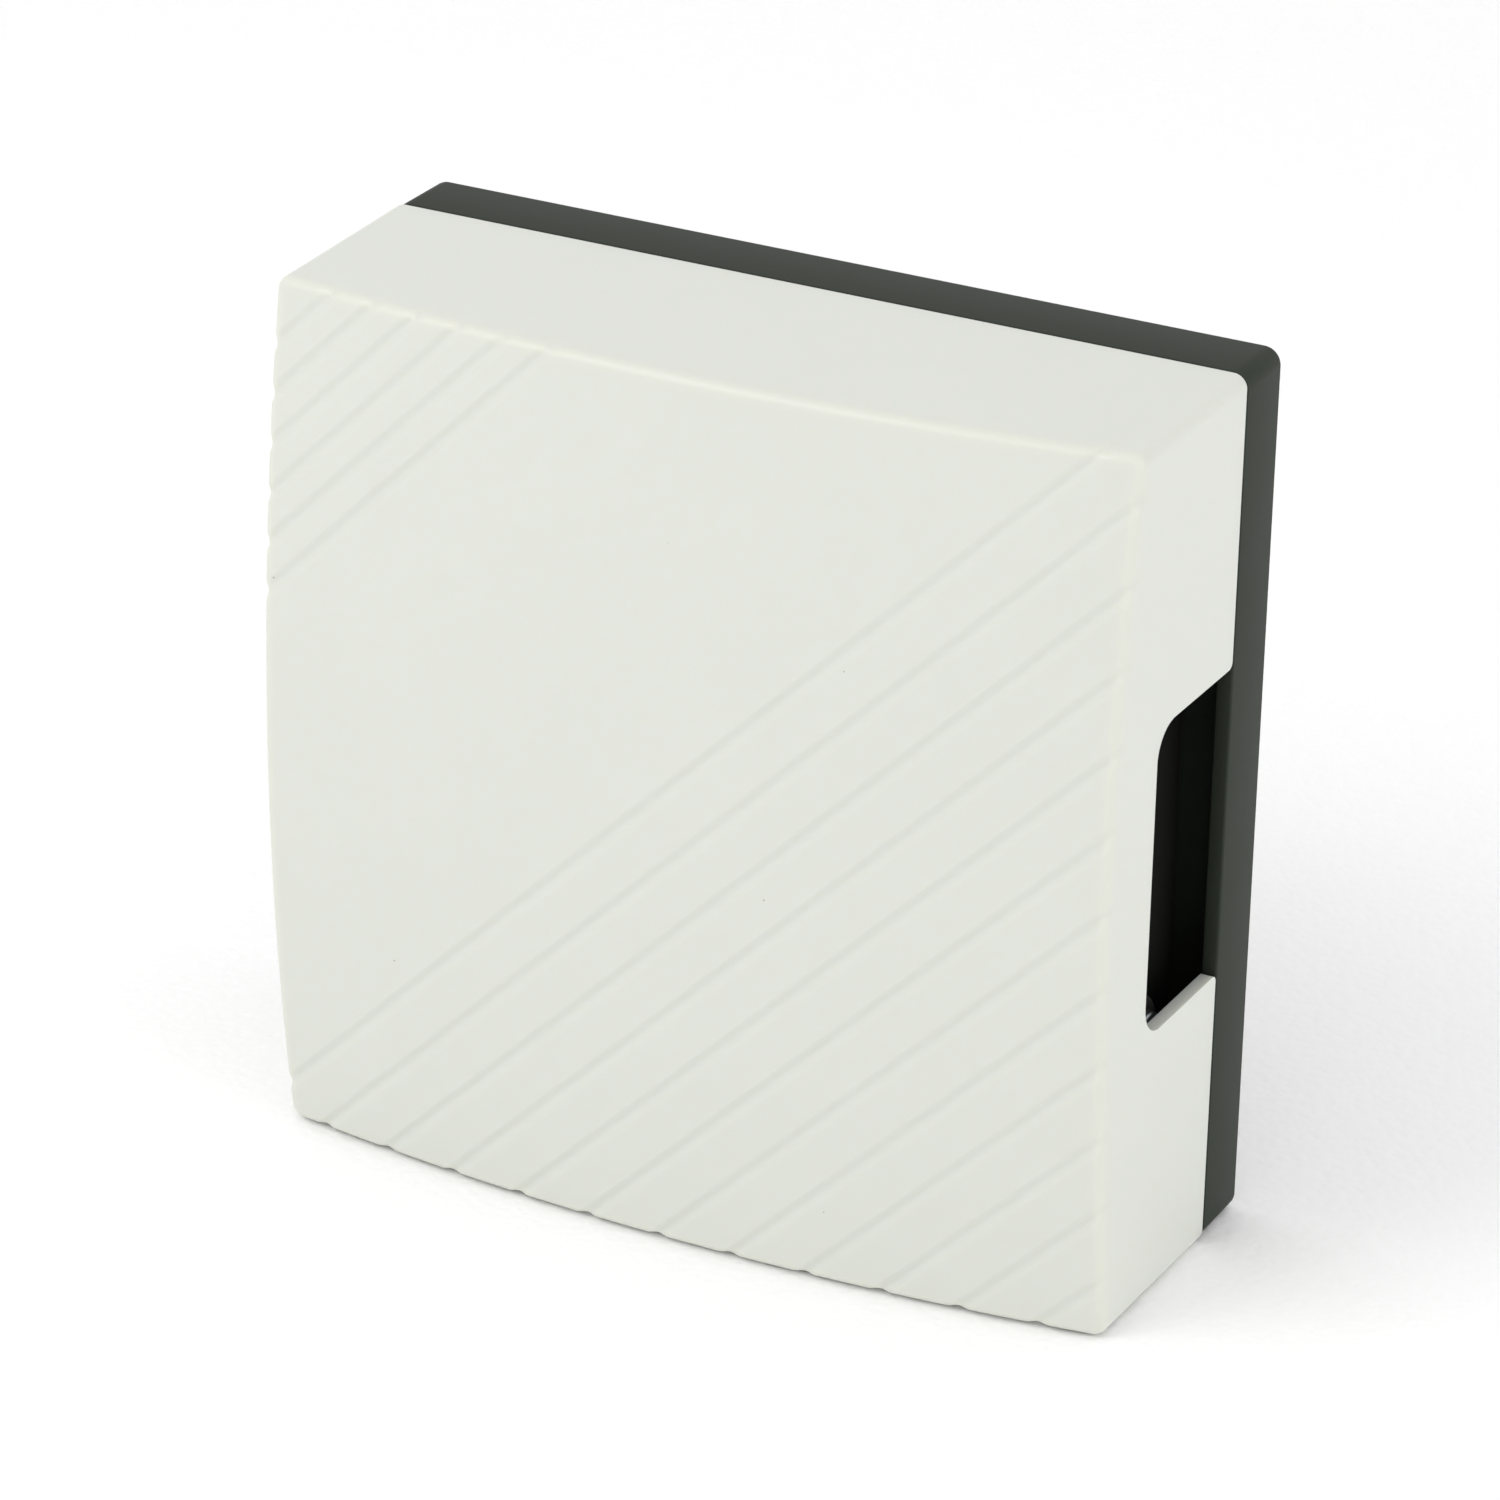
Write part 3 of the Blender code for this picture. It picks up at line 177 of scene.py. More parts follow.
def finish_piece(name, mesh, material, body, stands_for=()):
    """Puts a mesh in the scene, smooth but for its hard edges, on its body and with its slot."""
    mesh.materials.append(material)
    mesh.shade_smooth()
    mesh.set_sharp_from_angle(angle=math.radians(35))
    piece = bpy.data.objects.new(name, mesh)
    bpy.context.scene.collection.objects.link(piece)
    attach(piece, body)
    if stands_for:
        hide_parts(*stands_for)
    return piece


def mesh_from(name, bm):
    bmesh.ops.recalc_face_normals(bm, faces=bm.faces)
    mesh = bpy.data.meshes.new(name)
    bm.to_mesh(mesh)
    bm.free()
    return mesh


CORNER_STEP_COUNT = 8


def side_steps(straights, corner_steps=CORNER_STEP_COUNT):
    """Steps along one side of a rounded square: straights, then 1 mm past them for each corner."""
    end = max(straights)
    corner = [end + mm * (i + 1) / corner_steps for i in range(corner_steps)]
    return [-value for value in reversed(corner)] + sorted(straights) + corner


def plan_point(s, t, steps_end, half, radius):
    """Where the grid point (s, t) lies in a square of this half width and corner radius."""
    start = steps_end - mm
    anchor = 0.8 * start

    def straight(value):
        value = min(abs(value), start)
        if value <= anchor:
            return value
        return anchor + (value - anchor) * (half - radius - anchor) / (start - anchor)

    a = max(0.0, abs(s) - start) / mm
    b = max(0.0, abs(t) - start) / mm
    x = straight(s) + radius * a * math.sqrt(1 - b * b / 2)
    z = straight(t) + radius * b * math.sqrt(1 - a * a / 2)
    return math.copysign(x, s), math.copysign(z, t)


def rim_of(steps):
    """The grid points round the square's edge, in order."""
    end = steps[-1]
    right = [(end, t) for t in steps[:-1]]
    top = [(s, end) for s in reversed(steps[1:])]
    left = [(-end, t) for t in reversed(steps[1:])]
    bottom = [(s, -end) for s in steps[:-1]]
    return right + top + left + bottom


def arc(centre, radius, start, end, count):
    """Points on an arc in a (half width, depth) profile. Angles are in degrees."""
    angles = [math.radians(start + (end - start) * i / count) for i in range(count + 1)]
    return [(centre[0] + radius * math.cos(a), centre[1] + radius * math.sin(a)) for a in angles]


def close_rings(bm, rings):
    """Joins rings of points one to the next, and closes the first and the last."""
    for ring, other in zip(rings, rings[1:]):
        for i in range(len(ring)):
            j = (i + 1) % len(ring)
            bm.faces.new((ring[i], ring[j], other[j], other[i]))
    bm.faces.new(rings[0])
    bm.faces.new(rings[-1])


CASE_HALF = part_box("base_tray")[1].x
SEAM_Y = -11.5 * mm
TRAY_CORNER = 2.5 * mm
TRAY_WALL = 2.4 * mm
TRAY_FLOOR_Y = -2.4 * mm
TRAY_BACK_EDGE = 1.0 * mm
TRAY_RIM_EDGE = 0.35 * mm
TRAY_INNER_CORNER = 0.8 * mm
TRAY_FLOOR_FILLET = 0.7 * mm
LEAST_CORNER = 0.05 * mm

tray_inner = CASE_HALF - TRAY_WALL
outer_section = [
    *arc((CASE_HALF - TRAY_BACK_EDGE, -TRAY_BACK_EDGE), TRAY_BACK_EDGE, 90, 0, 5),
    *arc((CASE_HALF - TRAY_RIM_EDGE, SEAM_Y + TRAY_RIM_EDGE), TRAY_RIM_EDGE, 0, -90, 3),
]
inner_section = [
    *arc((tray_inner + TRAY_RIM_EDGE, SEAM_Y + TRAY_RIM_EDGE), TRAY_RIM_EDGE, -90, -180, 3),
    *arc((tray_inner - TRAY_FLOOR_FILLET, TRAY_FLOOR_Y - TRAY_FLOOR_FILLET), TRAY_FLOOR_FILLET, 0, 90, 4),
]
tray_steps = side_steps([i * 6.2 * mm for i in range(-10, 11)])
tray_rim = rim_of(tray_steps)
bm = bmesh.new()
rings = []
for index, (half, y) in enumerate(outer_section + inner_section):
    if index < len(outer_section):
        radius = max(TRAY_CORNER - (CASE_HALF - half), LEAST_CORNER)
    else:
        radius = max(TRAY_INNER_CORNER - (tray_inner - half), LEAST_CORNER)
    plan = [plan_point(s, t, tray_steps[-1], half, radius) for s, t in tray_rim]
    rings.append([bm.verts.new((x, y, z)) for x, z in plan])
close_rings(bm, rings)
tray_mesh = mesh_from("base_tray_shell", bm)


def helper_from(name, bm):
    """A shape that only cuts or joins another. It is removed once it has been used."""
    helper = bpy.data.objects.new(name, mesh_from(name, bm))
    bpy.context.scene.collection.objects.link(helper)
    return helper


def rounded_outline(middle, half, corner, count):
    """Points round a rectangle with rounded corners, each drawn in this many steps."""
    points = []
    for side_a, side_b, start in ((1, 1, 0), (-1, 1, 90), (-1, -1, 180), (1, -1, 270)):
        for i in range(count + 1):
            angle = math.radians(start + 90 * i / count)
            a = middle[0] + side_a * (half[0] - corner) + corner * math.cos(angle)
            b = middle[1] + side_b * (half[1] - corner) + corner * math.sin(angle)
            points.append((a, b))
    return points


def rounded_block(name, low, high, corner):
    """A helper box whose four edges along Y are rounded."""
    low, high = Vector(low), Vector(high)
    middle = (low + high) / 2
    half = ((high.x - low.x) / 2, (high.z - low.z) / 2)
    outline = rounded_outline((middle.x, middle.z), half, corner, 3)
    bm = bmesh.new()
    close_rings(bm, [[bm.verts.new((x, y, z)) for x, z in outline] for y in (high.y, low.y)])
    return helper_from(name, bm)


def round_bar(name, radius, start, end, steps=40, end_radius=None):
    """A helper bar, round in section, between two points."""
    start, end = Vector(start), Vector(end)
    turn = (end - start).to_track_quat("Z", "Y").to_matrix()
    bm = bmesh.new()
    rings = []
    for centre, size in ((start, radius), (end, end_radius or radius)):
        ring = []
        for i in range(steps):
            angle = 2 * math.pi * i / steps
            offset = turn @ Vector((size * math.cos(angle), size * math.sin(angle), 0))
            ring.append(bm.verts.new(centre + offset))
        rings.append(ring)
    close_rings(bm, rings)
    return helper_from(name, bm)


def combine(mesh, joined, cut):
    """The mesh with the first helpers joined to it and then the others cut from it."""
    base = bpy.data.objects.new("combining", mesh)
    bpy.context.scene.collection.objects.link(base)
    for operation, helpers in (("UNION", joined), ("DIFFERENCE", cut)):
        for helper in helpers:
            modifier = base.modifiers.new(helper.name, "BOOLEAN")
            modifier.operation = operation
            modifier.object = helper
            modifier.solver = "EXACT"
    graph = bpy.context.evaluated_depsgraph_get()
    result = bpy.data.meshes.new_from_object(base.evaluated_get(graph))
    result.name = mesh.name
    for used in (base, *joined, *cut):
        bpy.data.objects.remove(used)
    return result


def soften(piece, width, angle):
    """Rounds the edges that a mould or a tool leaves, by a small width."""
    bevel = piece.modifiers.new("soft_edges", "BEVEL")
    bevel.width = width
    bevel.segments = 2
    bevel.limit_method = "ANGLE"
    bevel.angle_limit = math.radians(angle)
    bevel.use_clamp_overlap = True
    bevel.harden_normals = True


tube_low, tube_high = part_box("guide_tube")
STRIKE_Y = (tube_low.y + tube_high.y) / 2
BURIED_Y = TRAY_FLOOR_Y / 2
SEAT_GAP = 0.3 * mm  # from a boss or pad to the piece that it carries
PAST = 5 * mm  # how far a cutter runs past what it cuts
HOLE_STEPS = 24
joined = []
cut = []

POST_FACE_X = 52.1 * mm
POST_THICKNESS = 9.0 * mm
POST_HALF_HEIGHT = 5.0 * mm
POST_TIP_Y = STRIKE_Y - 6.0 * mm
PILOT_RADIUS = 1.6 * mm
BAR_SIDES = {"right": 1, "left": -1}
bar_node_z = {}
for side_name, side in BAR_SIDES.items():
    grommet_low, grommet_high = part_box(f"bar_grommet_{side_name}_upper")
    bar_node_z[side_name] = (grommet_low.z + grommet_high.z) / 2
    xs = sorted((side * (POST_FACE_X - POST_THICKNESS), side * POST_FACE_X))
    for end in (-1, 1):
        z = end * bar_node_z[side_name]
        low = (xs[0], POST_TIP_Y, z - POST_HALF_HEIGHT)
        high = (xs[1], BURIED_Y, z + POST_HALF_HEIGHT)
        joined.append(rounded_block(f"post_{side_name}_{end}", low, high, 0.6 * mm))
        start = (side * (POST_FACE_X - POST_THICKNESS - PAST), STRIKE_Y, z)
        stop = (side * (POST_FACE_X + PAST), STRIKE_Y, z)
        cut.append(round_bar(f"post_hole_{side_name}_{end}", PILOT_RADIUS, start, stop, HOLE_STEPS))

FRAME_SCREW_Z = 18.0 * mm
FRAME_BACK_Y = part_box("solenoid_frame")[1].y
BOSS_RADIUS = 4.0 * mm
BOSS_DRAFT = 0.25 * mm
BOSS_HOLE_FOOT_Y = -2.1 * mm
for end in (-1, 1):
    z = end * FRAME_SCREW_Z
    foot_radius = BOSS_RADIUS + BOSS_DRAFT
    top = (0, FRAME_BACK_Y + SEAT_GAP, z)
    joined.append(
        round_bar(f"boss_{end}", foot_radius, (0, BURIED_Y, z), top, end_radius=BOSS_RADIUS)
    )
    stop = (0, FRAME_BACK_Y - PAST, z)
    cut.append(
        round_bar(f"boss_hole_{end}", PILOT_RADIUS, (0, BOSS_HOLE_FOOT_Y, z), stop, HOLE_STEPS)
    )

block_low, block_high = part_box("terminal_block")
TERMINAL_Z = (block_low.z + block_high.z) / 2
PAD_Y = block_high.y + SEAT_GAP
PAD_HOLE_RADIUS = 1.3 * mm
low = (block_low.x + 4 * mm, PAD_Y, block_low.z + 2 * mm)
high = (block_high.x - 4 * mm, BURIED_Y, block_high.z - 2 * mm)
joined.append(rounded_block("terminal_pad", low, high, 0.8 * mm))
start = (0, BURIED_Y, TERMINAL_Z)
stop = (0, PAD_Y - PAST, TERMINAL_Z)
cut.append(round_bar("pad_hole", PAD_HOLE_RADIUS, start, stop, HOLE_STEPS))

KEYHOLE_X = 30.15 * mm
KEYHOLE_Z = 38.0 * mm
KEYHOLE_HEAD = 4.5 * mm
KEYHOLE_SLOT = 2.4 * mm
KEYHOLE_TOP = 47.0 * mm
PAD_MARGIN = 3.5 * mm
PAD_RISE = 1.0 * mm
for side in (-1, 1):
    x = side * KEYHOLE_X
    reach = KEYHOLE_HEAD + PAD_MARGIN
    low = (x - reach, TRAY_FLOOR_Y - PAD_RISE, KEYHOLE_Z - reach)
    high = (x + reach, BURIED_Y, KEYHOLE_TOP + PAD_MARGIN)
    joined.append(rounded_block(f"keyhole_pad_{side}", low, high, PAD_MARGIN))
    cut.append(round_bar(f"keyhole_{side}", KEYHOLE_HEAD, (x, PAST, KEYHOLE_Z), (x, -PAST, KEYHOLE_Z)))
    low = (x - KEYHOLE_SLOT, -PAST, KEYHOLE_Z - KEYHOLE_SLOT)
    high = (x + KEYHOLE_SLOT, PAST, KEYHOLE_TOP)
    cut.append(rounded_block(f"keyhole_slot_{side}", low, high, KEYHOLE_SLOT - 0.15 * mm))

LUG_X = 36.0 * mm
LUG_HALF = 8.0 * mm
LUG_THICKNESS = 2.2 * mm
LUG_TIP_Y = SEAM_Y - 6.5 * mm
LUG_OUTER_Z = 62.02 * mm
BEAD_PROUD = 0.6 * mm
BEAD_RADIUS = 2 * BEAD_PROUD
for side in (-1, 1):
    for end in (-1, 1):
        zs = sorted((end * LUG_OUTER_Z, end * (LUG_OUTER_Z - LUG_THICKNESS)))
        low = (side * LUG_X - LUG_HALF, LUG_TIP_Y, zs[0])
        high = (side * LUG_X + LUG_HALF, BURIED_Y, zs[1])
        joined.append(rounded_block(f"lug_{side}_{end}", low, high, 0.5 * mm))
        z = end * (LUG_OUTER_Z + BEAD_PROUD - BEAD_RADIUS)
        y = LUG_TIP_Y + 2 * BEAD_RADIUS
        start = (side * LUG_X - LUG_HALF + BEAD_PROUD, y, z)
        stop = (side * LUG_X + LUG_HALF - BEAD_PROUD, y, z)
        joined.append(round_bar(f"lug_bead_{side}_{end}", BEAD_RADIUS, start, stop, HOLE_STEPS))

CABLE_ENTRY_Z = -52.5 * mm
CABLE_ENTRY_HALF_X = 12 * mm
CABLE_ENTRY_HALF_Z = 5.5 * mm
low = (-CABLE_ENTRY_HALF_X, -PAST, CABLE_ENTRY_Z - CABLE_ENTRY_HALF_Z)
high = (CABLE_ENTRY_HALF_X, PAST, CABLE_ENTRY_Z + CABLE_ENTRY_HALF_Z)
cut.append(rounded_block("cable_entry", low, high, 3 * mm))

tray_mesh = combine(tray_mesh, joined, cut)
finish_piece("base_tray_moulding", tray_mesh, GREY_ABS, "base", ["base_tray"])

# ---- Solenoid ------------------------------------------------------------------------------------
# A nylon bobbin wound with enamelled copper and wrapped in polyester tape sits in a bent, zinc-plated
# steel yoke. A thin brass tube through its middle guides the plunger. Two screws hold the yoke.


def turned_mesh(name, profile, start, direction, steps=64):
    """A turned piece from (radius, height) points, its heights running from start along direction."""
    start = Vector(start)
    turn = Vector(direction).to_track_quat("Z", "Y").to_matrix()
    bm = bmesh.new()
    rows = []
    for radius, height in profile:
        count = steps if radius > 1e-7 else 1
        row = []
        for i in range(count):
            angle = 2 * math.pi * i / steps
            local = Vector((radius * math.cos(angle), radius * math.sin(angle), height))
            row.append(bm.verts.new(start + turn @ local))
        rows.append(row)
    closed = len(rows[0]) > 1
    pairs = list(zip(rows, rows[1:])) + ([(rows[-1], rows[0])] if closed else [])
    for low, high in pairs:
        for i in range(steps):
            j = (i + 1) % steps
            corners = [low[i % len(low)], low[j % len(low)], high[j % len(high)], high[i % len(high)]]
            distinct = list(dict.fromkeys(corners))
            if len(distinct) > 2:
                bm.faces.new(distinct)
    return mesh_from(name, bm)


def eased(profile, radius, closed=False, steps=3):
    """The profile with each corner rounded, as far as its neighbours leave room."""
    points = [Vector(point) for point in profile]
    count = len(points)
    result = []
    for i, point in enumerate(points):
        if not closed and i in (0, count - 1):
            result.append(tuple(point))
            continue
        before = points[i - 1] - point
        after = points[(i + 1) % count] - point
        reach = min(radius, 0.45 * before.length, 0.45 * after.length)
        first = point + before.normalized() * reach
        last = point + after.normalized() * reach
        for step in range(steps + 1):
            t = step / steps
            result.append(tuple((1 - t) ** 2 * first + 2 * t * (1 - t) * point + t * t * last))
    return result


def metal(name, colour, other_colour, roughness, grain_scale, grain_height, wear_roughness=0.12):
    """A metal finish whose colour and gloss drift over the surface, with the tool's fine marks."""
    material, tree, shader, place = new_finish(name)
    stretched = add_node(tree, "ShaderNodeMapping", {"Vector": place, "Scale": grain_scale})
    marks = add_node(
        tree, "ShaderNodeTexNoise", {"Vector": stretched.outputs[0], "Scale": 1.0, "Detail": 3.0}
    )
    cloud = add_node(tree, "ShaderNodeTexNoise", {"Vector": place, "Scale": 1 / 3.5, "Detail": 4.0})
    tint = add_node(
        tree,
        "ShaderNodeMix",
        {0: cloud.outputs["Fac"], 6: linear(colour), 7: linear(other_colour)},
        data_type="RGBA",
    )
    gloss = add_node(
        tree,
        "ShaderNodeMapRange",
        {"Value": marks.outputs["Fac"], 3: roughness - wear_roughness, 4: roughness + wear_roughness},
    )
    bump = add_node(
        tree,
        "ShaderNodeBump",
        {"Strength": 1.0, "Distance": grain_height, "Height": marks.outputs["Fac"]},
    )
    tree.links.new(tint.outputs[2], shader.inputs["Base Color"])
    tree.links.new(gloss.outputs[0], shader.inputs["Roughness"])
    tree.links.new(bump.outputs["Normal"], shader.inputs["Normal"])
    adjust(material, {"Metallic": 1.0})
    return material


# Bright zinc plate on pressed or headed steel: bluish white, with a slightly cloudy passivation.
ZINC = metal("zinc_plated_steel", "#B9BDC2", "#A3A7AA", 0.34, (0.9, 0.9, 2.5), 0.004 * mm)
# Drawn brass tube: warm yellow, with fine draw lines along it.
BRASS = metal("drawn_brass", "#C9A552", "#B8923F", 0.28, (0.25, 6.0, 6.0), 0.003 * mm)

def dress(node, material):
    """Gives a CAD node, whose shape is right as it is, its real finish."""
    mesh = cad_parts[node].data
    mesh.materials.clear()
    mesh.materials.append(material)


dress("solenoid_frame", ZINC)


def turned_piece(name, node, profile, start, direction, material, body, steps=64):
    """A turned mesh with its finish, in place of its CAD node."""
    mesh = turned_mesh(name, profile, start, direction, steps)
    return finish_piece(name, mesh, material, body, [node])


TUBE_BORE = 4.9 * mm
TUBE_RADIUS = 5.4 * mm
strike_centre = Vector((0, STRIKE_Y, 0))
profile = [
    (TUBE_BORE, tube_low.x),
    (TUBE_RADIUS, tube_low.x),
    (TUBE_RADIUS, tube_high.x),
    (TUBE_BORE, tube_high.x),
]
profile = eased(profile, 0.12 * mm, closed=True)
turned_piece(
    "guide_tube_drawn", "guide_tube", profile, strike_centre, (1, 0, 0), BRASS, "base"
)


def plain_polymer(name, colour, other_colour, roughness, grain, grain_height, ior=1.53):
    """A moulded or cut polymer with a faint grain and uneven gloss."""
    material, *_ = grained_skin(name, colour, other_colour, roughness, grain, grain_height)
    adjust(material, {"IOR": ior})
    return material


# Natural nylon: milky, slightly yellow and waxy, so light goes a little way into it.
NYLON = plain_polymer("natural_moulded_nylon", "#E2DCC8", "#D8D0B8", 0.38, 0.6, 0.004 * mm)
adjust(
    NYLON,
    {
        "Subsurface Weight": 0.25,
        "Subsurface Radius": (0.9, 0.7, 0.5),
        "Subsurface Scale": 1.0 * mm,
    },
)

bobbin_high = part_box("coil_bobbin")[1]
BOBBIN_END = bobbin_high.x
BOBBIN_RADIUS = bobbin_high.z
FLANGE = 1.5 * mm
BOBBIN_BORE = 5.7 * mm
BARREL = 6.7 * mm
profile = [
    (BOBBIN_BORE, BOBBIN_END),
    (BOBBIN_RADIUS, BOBBIN_END),
    (BOBBIN_RADIUS, BOBBIN_END - FLANGE),
    (BARREL, BOBBIN_END - FLANGE),
    (BARREL, FLANGE - BOBBIN_END),
    (BOBBIN_RADIUS, FLANGE - BOBBIN_END),
    (BOBBIN_RADIUS, -BOBBIN_END),
    (BOBBIN_BORE, -BOBBIN_END),
]
turned_piece(
    "coil_bobbin_moulded",
    "coil_bobbin",
    eased(profile, 0.3 * mm, closed=True),
    strike_centre,
    (1, 0, 0),
    NYLON,
    "base",
    96,
)

# The winding: hundreds of turns of enamelled wire, drawn 0.4 mm thick. Each turn of its outer layer
# is modelled, and the enamel gives the copper a deep red-brown gloss.
ENAMEL = metal("enamelled_copper_wire", "#8A3B1C", "#A5502A", 0.26, (0.4, 1.2, 1.2), 0.002 * mm, 0.06)
adjust(ENAMEL, {"Coat Weight": 0.7, "Coat Roughness": 0.12})
winding_low, winding_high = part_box("coil_winding")
WIRE_RADIUS = 0.2 * mm
WINDING_BORE = 7.0 * mm
turn_count = round((winding_high.x - winding_low.x) / (2 * WIRE_RADIUS))
turn_pitch = (winding_high.x - winding_low.x) / turn_count
wire_line = winding_high.z - WIRE_RADIUS
profile = [(WINDING_BORE, winding_low.x), (wire_line, winding_low.x)]
for turn in range(turn_count):
    for angle in (30, 60, 90, 120, 150):
        along = winding_low.x + turn_pitch * (turn + 0.5 - 0.5 * math.cos(math.radians(angle)))
        profile.append((wire_line + WIRE_RADIUS * math.sin(math.radians(angle)), along))
profile += [(wire_line, winding_high.x), (WINDING_BORE, winding_high.x)]
turned_piece(
    "coil_winding_turns",
    "coil_winding",
    profile,
    strike_centre,
    (1, 0, 0),
    ENAMEL,
    "base",
)

# The tape: one and a bit turns of yellow polyester film, glossy, its end lapped over its start.
TAPE_FILM = plain_polymer("polyester_film_tape", "#C79A1E", "#D2A82C", 0.22, 1.4, 0.006 * mm, 1.6)
tape_low, tape_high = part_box("coil_tape")
TAPE_INNER = tape_high.z - 0.38 * mm
TAPE_FILM_THICKNESS = 0.12 * mm
TAPE_GAP = 0.03 * mm
TAPE_LAP = 50  # degrees
TAPE_LIFT_FROM = 350  # degrees round, where the end starts to climb over the start
TAPE_LIFT_OVER = 20  # degrees
TAPE_START = 0.7  # radians from straight back
bm = bmesh.new()
rings = []
for degree in range(0, 361 + TAPE_LAP, 5):
    angle = math.radians(degree) + TAPE_START
    lifted = min(1.0, max(0.0, (degree - TAPE_LIFT_FROM) / TAPE_LIFT_OVER))
    inner = TAPE_INNER + lifted * (TAPE_FILM_THICKNESS + TAPE_GAP)
    outer = inner + TAPE_FILM_THICKNESS
    section = ((inner, tape_low.x), (outer, tape_low.x), (outer, tape_high.x), (inner, tape_high.x))
    rings.append(
        [bm.verts.new((x, STRIKE_Y - r * math.cos(angle), r * math.sin(angle))) for r, x in section]
    )
close_rings(bm, rings)
mesh = mesh_from("coil_tape_wrap", bm)
finish_piece("coil_tape_wrap", mesh, TAPE_FILM, "base", ["coil_tape"])


SLOT_WIDTH = 0.8 * mm
SLOT_LEAST_DEPTH = 0.6 * mm


def slotted_screw(name, node, profile, start, direction, head_top, slot_axis, body):
    """A screw turned from its profile, with a driver slot cut across its head."""
    mesh = turned_mesh(name, profile, start, direction, 48)
    direction = Vector(direction)
    across = Vector(slot_axis)
    third = direction.cross(across)
    head_radius = max(radius for radius, _ in profile)
    top = Vector(start) + direction * head_top
    bm = bmesh.new()
    bmesh.ops.create_cube(bm, size=1.0)
    depth = 0.45 * (head_top - next(h for r, h in profile if r == head_radius))
    for vert in bm.verts:
        x, y, z = vert.co
        vert.co = (
            top
            + across * (x * 2 * 1.2 * head_radius)
            + third * (y * SLOT_WIDTH)
            + direction * (z * 2 * max(depth, SLOT_LEAST_DEPTH))
        )
    mesh = combine(mesh, [], [helper_from(f"{name}_slot", bm)])
    screw = finish_piece(name, mesh, ZINC, body, [node])
    soften(screw, 0.06 * mm, 50)


HEAD_ANGLES = (0, 20, 40, 60, 75, 90)
THREAD_PITCH = 0.5 * mm
THREAD_DEPTH = 0.14 * mm
HEAD_EDGE = 0.05 * mm


def pan_head(head_radius, head, shank_radius, shank):
    """A pan-headed screw's profile, from the top of its head at +head to its tip at -shank."""
    dome = [
        (head_radius * math.sin(math.radians(a)), head * (0.55 + 0.45 * math.cos(math.radians(a))))
        for a in HEAD_ANGLES
    ]
    root = shank_radius - THREAD_DEPTH
    thread = []
    for i in range(int((shank - 2 * shank_radius) / THREAD_PITCH)):
        base = -0.4 * mm - i * THREAD_PITCH
        thread += [(root, base), (shank_radius, base - 0.4 * THREAD_PITCH)]
        thread += [(shank_radius, base - 0.6 * THREAD_PITCH), (root, base - 0.99 * THREAD_PITCH)]
    return [
        *dome,
        (head_radius, HEAD_EDGE),
        (head_radius - HEAD_EDGE, 0),
        (root, 0),
        *thread,
        (root, -shank + shank_radius),
        (0, -shank),
    ]


def screw_from_node(name, node, shank_radius, head, body):
    """A pan-headed screw that faces the front, as large as its CAD node."""
    low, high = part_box(node)
    centre = (low + high) / 2
    head_radius = (high.x - low.x) / 2
    under_head = (centre.x, low.y + head, centre.z)
    profile = pan_head(head_radius, head, shank_radius, high.y - low.y - head)
    return slotted_screw(name, node, profile, under_head, (0, -1, 0), head, (1, 0, 0), body)


for label in ("lower", "upper"):
    screw_from_node(f"yoke_screw_{label}", f"solenoid_screw_{label}", 1.3 * mm, 2.2 * mm, "base")

# ---- Plunger -------------------------------------------------------------------------------------
# A plated steel core with a nylon striker pressed into each end. An open clip snaps into a groove
# near its left end, and a light coil spring between the clip and the yoke brings it back to rest.
core_low, core_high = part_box("plunger_core")
CORE_RADIUS = core_high.z
CLIP_X = -33.0 * mm
clip_low, clip_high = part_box("spring_clip")
SEAT_HALF = 0.7 * mm
SEAT_DEPTH = 1.0 * mm
profile = [
    (0, core_high.x),
    (CORE_RADIUS, core_high.x),
    (CORE_RADIUS, CLIP_X + SEAT_HALF),
    (CORE_RADIUS - SEAT_DEPTH, CLIP_X + SEAT_HALF),
    (CORE_RADIUS - SEAT_DEPTH, CLIP_X - SEAT_HALF),
    (CORE_RADIUS, CLIP_X - SEAT_HALF),
    (CORE_RADIUS, core_low.x),
    (0, core_low.x),
]
CORE_STEEL = metal("turned_plated_core", "#A9ABAA", "#94969A", 0.3, (5.0, 0.4, 0.4), 0.004 * mm)
turned_piece(
    "plunger_core_turned",
    "plunger_core",
    eased(profile, 0.35 * mm),
    strike_centre,
    (1, 0, 0),
    CORE_STEEL,
    "plunger",
)

STRIKER_RADIUS = 2.6 * mm
STRIKER_EDGE = 0.25 * mm
STRIKER_GAP = 0.3 * mm
for side_name, side in BAR_SIDES.items():
    striker_low, striker_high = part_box(f"striker_{side_name}")
    tip = max(abs(striker_low.x), abs(striker_high.x))
    shoulder = (core_high.x if side > 0 else -core_low.x) + STRIKER_GAP
    profile = [
        (STRIKER_RADIUS * math.sin(math.radians(a)), tip - STRIKER_RADIUS * (1 - math.cos(math.radians(a))))
        for a in range(0, 91, 10)
    ]
    profile += [
        (STRIKER_RADIUS, shoulder + 2.2 * mm),
        (STRIKER_RADIUS, shoulder + STRIKER_EDGE),
        (STRIKER_RADIUS - STRIKER_EDGE, shoulder),
        (0, shoulder),
    ]
    turned_piece(
        f"striker_{side_name}_moulded",
        f"striker_{side_name}",
        profile,
        strike_centre,
        (side, 0, 0),
        NYLON,
        "plunger",
        48,
    )

